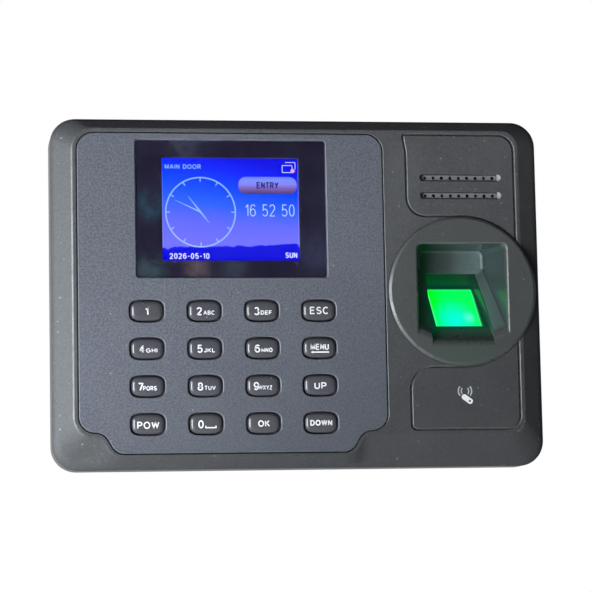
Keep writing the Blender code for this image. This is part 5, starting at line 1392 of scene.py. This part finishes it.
clearPane = smoothShade(makePane(), display["shadeAngle"])
clearPane.visible_shadow = False
settle(clearPane, paneFinish(), instead=["display_window"])
settle(makeBorder(), borderFinish())
pictureFront = lcdLow.y - display["pictureLift"]
screenFoot = screenTop - display["active"][1]
lit = outline(boxCorners(screenLeft, screenFoot, screenLeft + display["active"][0], screenTop))
settle(slab("displayPicture", lit, pictureFront, lcdLow.y - display["markThickness"]), pictureFinish())


def flatMarks(name, shapes, face):
    # thin raised marks, one for each outline
    back = face + display["markThickness"]
    return lofts(name, [[atY(points, face), atY(points, back)] for points in shapes])


def ringMark(name, x, z, radius, width, face, facets=128):
    inner, outer, back = radius - width / 2, radius + width / 2, face + display["markThickness"]
    profile = [(inner, face), (outer, face), (outer, back), (inner, back)]
    return loft(name, [atY(circlePoints(x, z, r, facets), y) for r, y in profile], True)


def spoke(x, z, hour, start, end, width, tip=None):
    # a straight mark that points to an hour on a dial
    angle = math.radians(90 - 30 * hour)
    along = (math.cos(angle), math.sin(angle))
    side = (-along[1], along[0])
    tip = width if tip is None else tip
    return [(x + along[0] * r + side[0] * w / 2, z + along[1] * r + side[1] * w / 2)
            for r, w in ((start, -width), (end, -tip), (end, tip), (start, width))]


def arcPath(x, z, wide, high, start, end, steps=14):
    return [(x + wide * math.cos(math.radians(start + (end - start) * k / steps)),
             z + high * math.sin(math.radians(start + (end - start) * k / steps))) for k in range(steps + 1)]


def oval(x, z, wide, high, steps=32):
    return arcPath(x, z, wide, high, 90, 450, steps)


# centre lines of plain capitals and figures, one unit tall
bowl = [(0, 0), (0, 1), (0.30, 1)] + arcPath(0.30, 0.73, 0.26, 0.27, 90, -90) + [(0, 0.46)]
strokes = {
    "A": [[(0, 0), (0.36, 1), (0.72, 0)], [(0.13, 0.34), (0.59, 0.34)]],
    "B": [[(0, 0.53), (0.30, 0.53)] + arcPath(0.30, 0.265, 0.26, 0.265, 90, -90) + [(0, 0), (0, 1), (0.28, 1)]
          + arcPath(0.28, 0.765, 0.23, 0.235, 90, -90)],
    "C": [arcPath(0.36, 0.5, 0.36, 0.5, 48, 312, 22)],
    "D": [[(0, 0), (0, 1), (0.24, 1)] + arcPath(0.24, 0.5, 0.38, 0.5, 90, -90) + [(0, 0)]],
    "E": [[(0.54, 1), (0, 1), (0, 0), (0.56, 0)], [(0, 0.52), (0.50, 0.52)]],
    "F": [[(0.52, 1), (0, 1), (0, 0)], [(0, 0.50), (0.46, 0.50)]],
    "G": [arcPath(0.38, 0.5, 0.38, 0.5, 48, 335, 22) + [(0.73, 0.47), (0.42, 0.47)]],
    "H": [[(0, 0), (0, 1)], [(0.58, 0), (0.58, 1)], [(0, 0.52), (0.58, 0.52)]],
    "I": [[(0, 0), (0, 1)]],
    "J": [[(0.38, 1), (0.38, 0.26)] + arcPath(0.19, 0.26, 0.19, 0.26, 0, -170)],
    "K": [[(0, 0), (0, 1)], [(0.56, 1), (0, 0.36)], [(0.20, 0.58), (0.60, 0)]],
    "L": [[(0, 1), (0, 0), (0.48, 0)]],
    "M": [[(0, 0), (0, 1), (0.36, 0.08), (0.72, 1), (0.72, 0)]],
    "N": [[(0, 0), (0, 1), (0.58, 0), (0.58, 1)]],
    "O": [oval(0.38, 0.5, 0.38, 0.5)],
    "P": [bowl],
    "Q": [oval(0.38, 0.5, 0.38, 0.5), [(0.46, 0.26), (0.74, 0.0)]],
    "R": [bowl, [(0.30, 0.46), (0.60, 0)]],
    "S": [arcPath(0.29, 0.745, 0.26, 0.255, 25, 270) + arcPath(0.29, 0.245, 0.29, 0.245, 90, -155)],
    "T": [[(0, 1), (0.60, 1)], [(0.30, 1), (0.30, 0)]],
    "U": [[(0, 1)] + arcPath(0.29, 0.30, 0.29, 0.30, 180, 360) + [(0.58, 1)]],
    "V": [[(0, 1), (0.34, 0), (0.68, 1)]],
    "W": [[(0, 1), (0.23, 0), (0.46, 1), (0.69, 0), (0.92, 1)]],
    "X": [[(0, 0), (0.60, 1)], [(0, 1), (0.60, 0)]],
    "Y": [[(0, 1), (0.32, 0.46), (0.64, 1)], [(0.32, 0.46), (0.32, 0)]],
    "Z": [[(0.02, 1), (0.56, 1), (0, 0), (0.58, 0)]],
    "0": [oval(0.25, 0.5, 0.25, 0.5)],
    "1": [[(0, 0.76), (0.24, 1), (0.24, 0)]],
    "2": [arcPath(0.25, 0.73, 0.25, 0.27, 165, -38) + [(0, 0), (0.52, 0)]],
    "3": [arcPath(0.24, 0.75, 0.22, 0.25, 155, -90) + arcPath(0.24, 0.25, 0.26, 0.25, 90, -155)],
    "4": [[(0.40, 0), (0.40, 1), (0, 0.30), (0.56, 0.30)]],
    "5": [[(0.46, 1), (0.08, 1)] + arcPath(0.25, 0.31, 0.26, 0.31, 140, -150)],
    "6": [arcPath(0.29, 0.5, 0.29, 0.5, 45, 175) + arcPath(0.26, 0.31, 0.26, 0.31, 180, 540, 28)],
    "7": [[(0, 1), (0.50, 1), (0.17, 0)]],
    "8": [oval(0.25, 0.75, 0.22, 0.25), oval(0.25, 0.25, 0.26, 0.25)],
    "9": [arcPath(0.23, 0.5, 0.29, 0.5, 225, 355) + arcPath(0.26, 0.69, 0.26, 0.31, 0, 360, 28)],
    "-": [[(0, 0.45), (0.30, 0.45)]],
    "_": [[(0, 1), (0, 0), (3, 0), (3, 1)]],
    "waves": [arcPath(0.5, 0.5, wide, high, start, start + 84)
              for wide, high in ((0.5, 0.62), (0.28, 0.40)) for start in (138, -42)],
    " ": [],
}


lettering = {"sharpTurn": math.radians(100), "overrun": 0.3, "space": 0.24, "gap": 0.34, "mitre": 0.7,
             "thickness": 0.00003, "meeting": 0.05, "shortest": 0.02}


def ribbon(path, width):
    # the two sides of a broad line along a path, with mitred turns
    meeting, shortest = width * lettering["meeting"], width * lettering["shortest"]
    closed = math.dist(path[0], path[-1]) < meeting
    points = [p for k, p in enumerate(path) if k == 0 or math.dist(p, path[k - 1]) > shortest]
    if closed:
        points = points[:-1] if math.dist(points[0], points[-1]) < meeting else points
    sides = []
    for k, point in enumerate(points):
        before = points[k - 1] if closed or k else None
        after = points[(k + 1) % len(points)] if closed or k < len(points) - 1 else None
        runs = []
        for a, b in ((before, point), (point, after)):
            if a and b:
                length = math.dist(a, b)
                runs.append(((b[0] - a[0]) / length, (b[1] - a[1]) / length))
        across = [sum(run[1] for run in runs), -sum(run[0] for run in runs)]
        size = math.hypot(*across)
        across = [across[0] / size, across[1] / size]
        reach = width / 2 / max(lettering["mitre"], abs(across[0] * runs[0][1] - across[1] * runs[0][0]))
        sides.append([(point[0] + s * reach * across[0], point[1] + s * reach * across[1]) for s in (1, -1)])
    return sides, closed


def straightRuns(path, reach):
    # a path broken at its sharp turns, each end there drawn on by a little
    runs, run = [], [path[0]]
    for before, point, after in zip(path, path[1:], path[2:]):
        run.append(point)
        heading = math.atan2(point[1] - before[1], point[0] - before[0])
        leaving = math.atan2(after[1] - point[1], after[0] - point[0])
        if abs((leaving - heading + math.pi) % (2 * math.pi) - math.pi) > lettering["sharpTurn"]:
            run[-1] = (point[0] + reach * math.cos(heading), point[1] + reach * math.sin(heading))
            runs.append(run)
            run = [(point[0] - reach * math.cos(leaving), point[1] - reach * math.sin(leaving))]
    return runs + [run + [path[-1]]]


def wordMesh(name, words, x, z, width, height, face, line, gap=lettering["gap"]):
    # lettering that faces the front, drawn with a broad line inside a width and a height
    drawn, pen = [], 0.0
    for letter in words:
        paths = strokes[letter]
        drawn += [[(pen + u, v) for u, v in path] for path in paths]
        pen += max((u for path in paths for u, v in path), default=lettering["space"]) + gap
    spanX = (width - line) / max(u for path in drawn for u, v in path)

    def make(shape):
        for path in drawn:
            placed = [(x - width / 2 + line / 2 + u * spanX, z - height / 2 + line / 2 + v * (height - line))
                      for u, v in path]
            for run in straightRuns(placed, line * lettering["overrun"]):
                drawRun(shape, run)

    def drawRun(shape, run):
        sides, closed = ribbon(run, line)
        depths = (face, face + lettering["thickness"])
        rows = [[shape.verts.new((u, y, v)) for u, v in pair for y in depths] for pair in sides]
        pairs = list(zip(rows, rows[1:])) + ([(rows[-1], rows[0])] if closed else [])
        for a, b in pairs:
            for i, j in ((0, 2), (2, 3), (3, 1), (1, 0)):
                shape.faces.new((a[i], a[j], b[j], b[i]))
        if not closed:
            for row in (rows[0], rows[-1]):
                shape.faces.new((row[0], row[2], row[3], row[1]))
    return newPiece(name, make)


dial = {"middle": (16.1, 22.8), "radius": 0.0146, "ring": 0.00058, "tick": 0.0018, "tickWidth": 0.00045,
        "hands": ((9.85, 0.0, 0.0118, 0.00070, 0.00012), (10.75, 0.0, 0.0085, 0.00080, 0.00015),
                  (4.75, 0.0, 0.0058, 0.00075, 0.00015))}
lozenge = {"middle": (44.5, 11.4), "size": (0.0247, 0.0073), "radius": 0.0033, "arcSteps": 10,
           "word": "ENTRY", "wordSize": (0.0094, 0.0029), "line": 0.00058,
           "tint": [(0.0, (0.09, 0.15, 0.95)), (0.15, (0.19, 0.28, 1.0)), (0.42, (0.22, 0.24, 0.98)),
                    (0.64, (0.20, 0.12, 0.52)), (0.86, (0.13, 0.06, 0.22)), (1.0, (0.05, 0.02, 0.16))]}
# words, middle, size, line, gap and ink
readouts = {"time": ("16 52 50", (45.3, 22.0), (0.0209, 0.0051), 0.00037, 0.26, "time marks"),
            "date": ("2026-05-10", (11.2, 41.3), (0.0167, 0.0024), 0.00040, 0.36, "white marks"),
            "place": ("MAIN DOOR", (8.9, 3.6), (0.0152, 0.0020), 0.00036, 0.36, "pale marks"),
            "day": ("SUN", (54.0, 40.9), (0.0050, 0.0024), 0.00042, 0.36, "white marks")}
icon = {"boxes": ((54.2, 3.1, 0.0042, 0.0030), (52.9, 4.4, 0.0042, 0.0030)), "line": 0.0003,
        "dot": (55.2, 5.2), "dotRadius": 0.0009, "dotFacets": 24}
edgeLine = {"width": 0.00022, "inset": 0.00012, "top": 0.3, "foot": 37.5}
inkEnds = {"pale marks": ((0.20, 0.46, 1.0), (0.38, 0.55, 1.0)),
           "time marks": ((0.46, 0.62, 1.0), (0.52, 0.66, 1.0)),
           "white marks": ((0.60, 0.66, 1.0), (0.78, 0.82, 1.0)),
           "pink mark": ((0.85, 0.35, 0.9), (1.0, 0.4, 0.8)),
           "dark marks": ((0.012, 0.010, 0.16), (0.03, 0.02, 0.15)),
           "backlight edge": ((0.02, 0.05, 1.0), (0.40, 0.40, 1.0))}
inks = {name: glowFinish(name, [(0.0, top), (1.0, foot)], screenFoot, screenTop)
        for name, (top, foot) in inkEnds.items()}
markLift = display["markLift"]
markFace = pictureFront - markLift


def makeDial():
    x, z = screenAt(*dial["middle"])
    radius = dial["radius"]
    settle(ringMark("dialRing", x, z, radius, dial["ring"], markFace), inks["pale marks"])
    ticks = [spoke(x, z, hour, radius - dial["tick"], radius, dial["tickWidth"]) for hour in range(12)]
    settle(flatMarks("dialTicks", ticks, markFace - markLift), inks["pale marks"])
    for k, hand in enumerate(dial["hands"], 1):
        mark = flatMarks("dialHand_%d" % k, [spoke(x, z, *hand)], markFace - k * markLift)
        settle(mark, inks["pale marks"])


def makeLozenge():
    x, z = screenAt(*lozenge["middle"])
    width, height = lozenge["size"]
    corners = centredCorners(x, z, width, height, lozenge["radius"])
    tablet = flatMarks("lozengeTablet", [outline(corners, 0.0, lozenge["arcSteps"])], markFace)
    settle(tablet, glowFinish("lozenge tint", lozenge["tint"], z - height / 2, z + height / 2))
    word = wordMesh("lozengeWord", lozenge["word"], x, z, *lozenge["wordSize"], markFace - markLift,
                    lozenge["line"])
    settle(word, inks["dark marks"])


def makeReadouts():
    for kind, (words, middle, size, line, gap, ink) in readouts.items():
        letters = wordMesh("readout_" + kind, words, *screenAt(*middle), *size, markFace, line, gap)
        settle(letters, inks[ink])


def makeIcon():
    line = icon["line"]
    for k, (right, down, width, height) in enumerate(icon["boxes"]):
        x, z = screenAt(right, down)
        bars = [(x, z + height / 2, width, line), (x, z - height / 2, width, line),
                (x - width / 2, z, line, height - line), (x + width / 2, z, line, height - line)]
        if k == 0:
            bars = [bars[0], bars[3]]
        shapes = [outline(centredCorners(*bar)) for bar in bars]
        settle(flatMarks("iconBox_%d" % (k + 1), shapes, markFace - k * markLift), inks["white marks"])
    dot = circlePoints(*screenAt(*icon["dot"]), icon["dotRadius"], icon["dotFacets"])
    settle(flatMarks("iconDot", [dot], markFace - 2 * markLift), inks["pink mark"])


def makeEdgeLines():
    # thin lighter lines where the backlight shows at the picture's sides
    half = edgeLine["width"] / 2 + edgeLine["inset"]
    shapes = []
    for right in (half * 1000, display["active"][0] * 1000 - half * 1000):
        x, high = screenAt(right, edgeLine["top"])
        low = screenAt(right, edgeLine["foot"])[1]
        shapes.append(outline(centredCorners(x, (low + high) / 2, edgeLine["width"], high - low)))
    settle(flatMarks("backlightEdges", shapes, markFace), inks["backlight edge"])


makeDial()
makeLozenge()
makeReadouts()
makeIcon()
makeEdgeLines()
print("display set")


# printed key legends

legend = {
    "digits": (0.0023, 0.0034), "digitZ": -0.0003, "narrow": 0.6, "lettersZ": -0.0009,
    "short": (-0.0022, 0.0018, (0.0047, 0.0018)), "long": (-0.0029, 0.0009, (0.0057, 0.0019)),
    "lift": 0.00003, "line": 0.00058, "fineLine": 0.00036, "wordLine": 0.00050,
    "space": (0.0019, -0.0013, 0.0047, 0.0013), "arrow": (0.0078, 0.00055, 0.0012, -0.0019),
    "withLetters": {"2": "ABC", "3": "DEF", "4": "GHI", "5": "JKL", "6": "MNO", "7": "PQRS", "8": "TUV",
                    "9": "WXYZ"},
    "words": {"key_escape": ("ESC", 0.0077, 0.0031, -0.0001), "key_menu": ("MENU", 0.0077, 0.0026, 0.0003),
              "key_up": ("UP", 0.0051, 0.0028, -0.0003), "key_down": ("DOWN", 0.0092, 0.0024, -0.0001),
              "key_ok": ("OK", 0.0049, 0.0027, -0.0002), "key_power": ("POW", 0.0091, 0.0030, -0.0005)},
    "ink": {**housingLook, "dark": (0.66, 0.66, 0.69), "light": (0.80, 0.80, 0.83),
            "haze": (0.72, 0.72, 0.74), "speck": (0.6, 0.6, 0.6), "relief": 0.05, "roughness": 0.5},
}
legendInk = plastic("legend ink", legend["ink"])


def makeLegends():
    face = front - keyCap["proud"] - legend["lift"]

    def write(node, words, x, z, size, line):
        middle = keyMiddle(node)
        piece = wordMesh("legend_" + words, words, middle[0] + x, middle[1] + z, *size, face, legend[line])
        settle(piece, legendInk, node)
    digits, digitZ = legend["digits"], legend["digitZ"]
    write("key_1", "1", 0.0, digitZ, (digits[0] * legend["narrow"], digits[1]), "line")
    write("key_0", "0", legend["short"][0], digitZ, digits, "line")
    write("key_0", "_", *legend["space"][:2], legend["space"][2:], "wordLine")
    for digit, letters in legend["withLetters"].items():
        digitX, lettersX, size = legend["long" if len(letters) > 3 else "short"]
        write("key_" + digit, digit, digitX, digitZ, digits, "line")
        write("key_" + digit, letters, lettersX, legend["lettersZ"], size, "fineLine")
    for node, (word, width, height, z) in legend["words"].items():
        write(node, word, 0.0, z, (width, height), "wordLine")
    length, line, head, drop = legend["arrow"]
    x, z = keyMiddle("key_menu")
    left, right = x - length / 2, x + length / 2
    z += drop
    arrow = [(left, z), (left + head, z - line), (left + head, z - line / 2), (right, z - line / 2),
             (right, z + line / 2), (left + head, z + line / 2), (left + head, z + line)]
    settle(slab("legend_arrow", arrow, face, face + legend["lift"]), legendInk, "key_menu")


makeLegends()
print("legends printed")


# printed mark for the card field: two pairs of waves over a tag

cardMark = {
    "middle": (-0.0004, -0.0420), "waves": (0.0062, 0.0052), "line": 0.00052, "tag": (0.0052, 0.0023, 0.0010),
    "tagPlace": (0.0009, -0.0034), "turn": math.radians(-36), "hole": (0.0013, 0.0005), "holeFacets": 20,
    "lift": 0.00003,
    "ink": {**legend["ink"], "dark": (0.62, 0.62, 0.62), "light": (0.74, 0.74, 0.74)},
    "faint": {**legend["ink"], "dark": (0.30, 0.30, 0.30), "light": (0.38, 0.38, 0.38)},
}


def makeCardMark():
    x, z = columnX + cardMark["middle"][0], cardMark["middle"][1]
    face = front - cardMark["lift"]
    waves = wordMesh("cardWaves", ["waves"], x, z, *cardMark["waves"], face, cardMark["line"])
    settle(waves, plastic("faint mark ink", cardMark["faint"]))
    width, height, radius = cardMark["tag"]
    c, s = math.cos(cardMark["turn"]), math.sin(cardMark["turn"])
    tagX, tagZ = x + cardMark["tagPlace"][0], z + cardMark["tagPlace"][1]

    def turned(points):
        return [(tagX + c * u - s * v, tagZ + s * u + c * v) for u, v in points]
    shape = turned(outline(centredCorners(0.0, 0.0, width, height, radius)))
    tag = slab("cardTag", shape, face, face + cardMark["lift"])
    right, hole = cardMark["hole"]
    opening = turned(circlePoints(right, 0.0, hole, cardMark["holeFacets"]))
    carve(tag, slab("tagHole", opening, face - hole, face + hole))
    settle(tag, plastic("mark ink", cardMark["ink"]))


makeCardMark()
print("card mark printed")
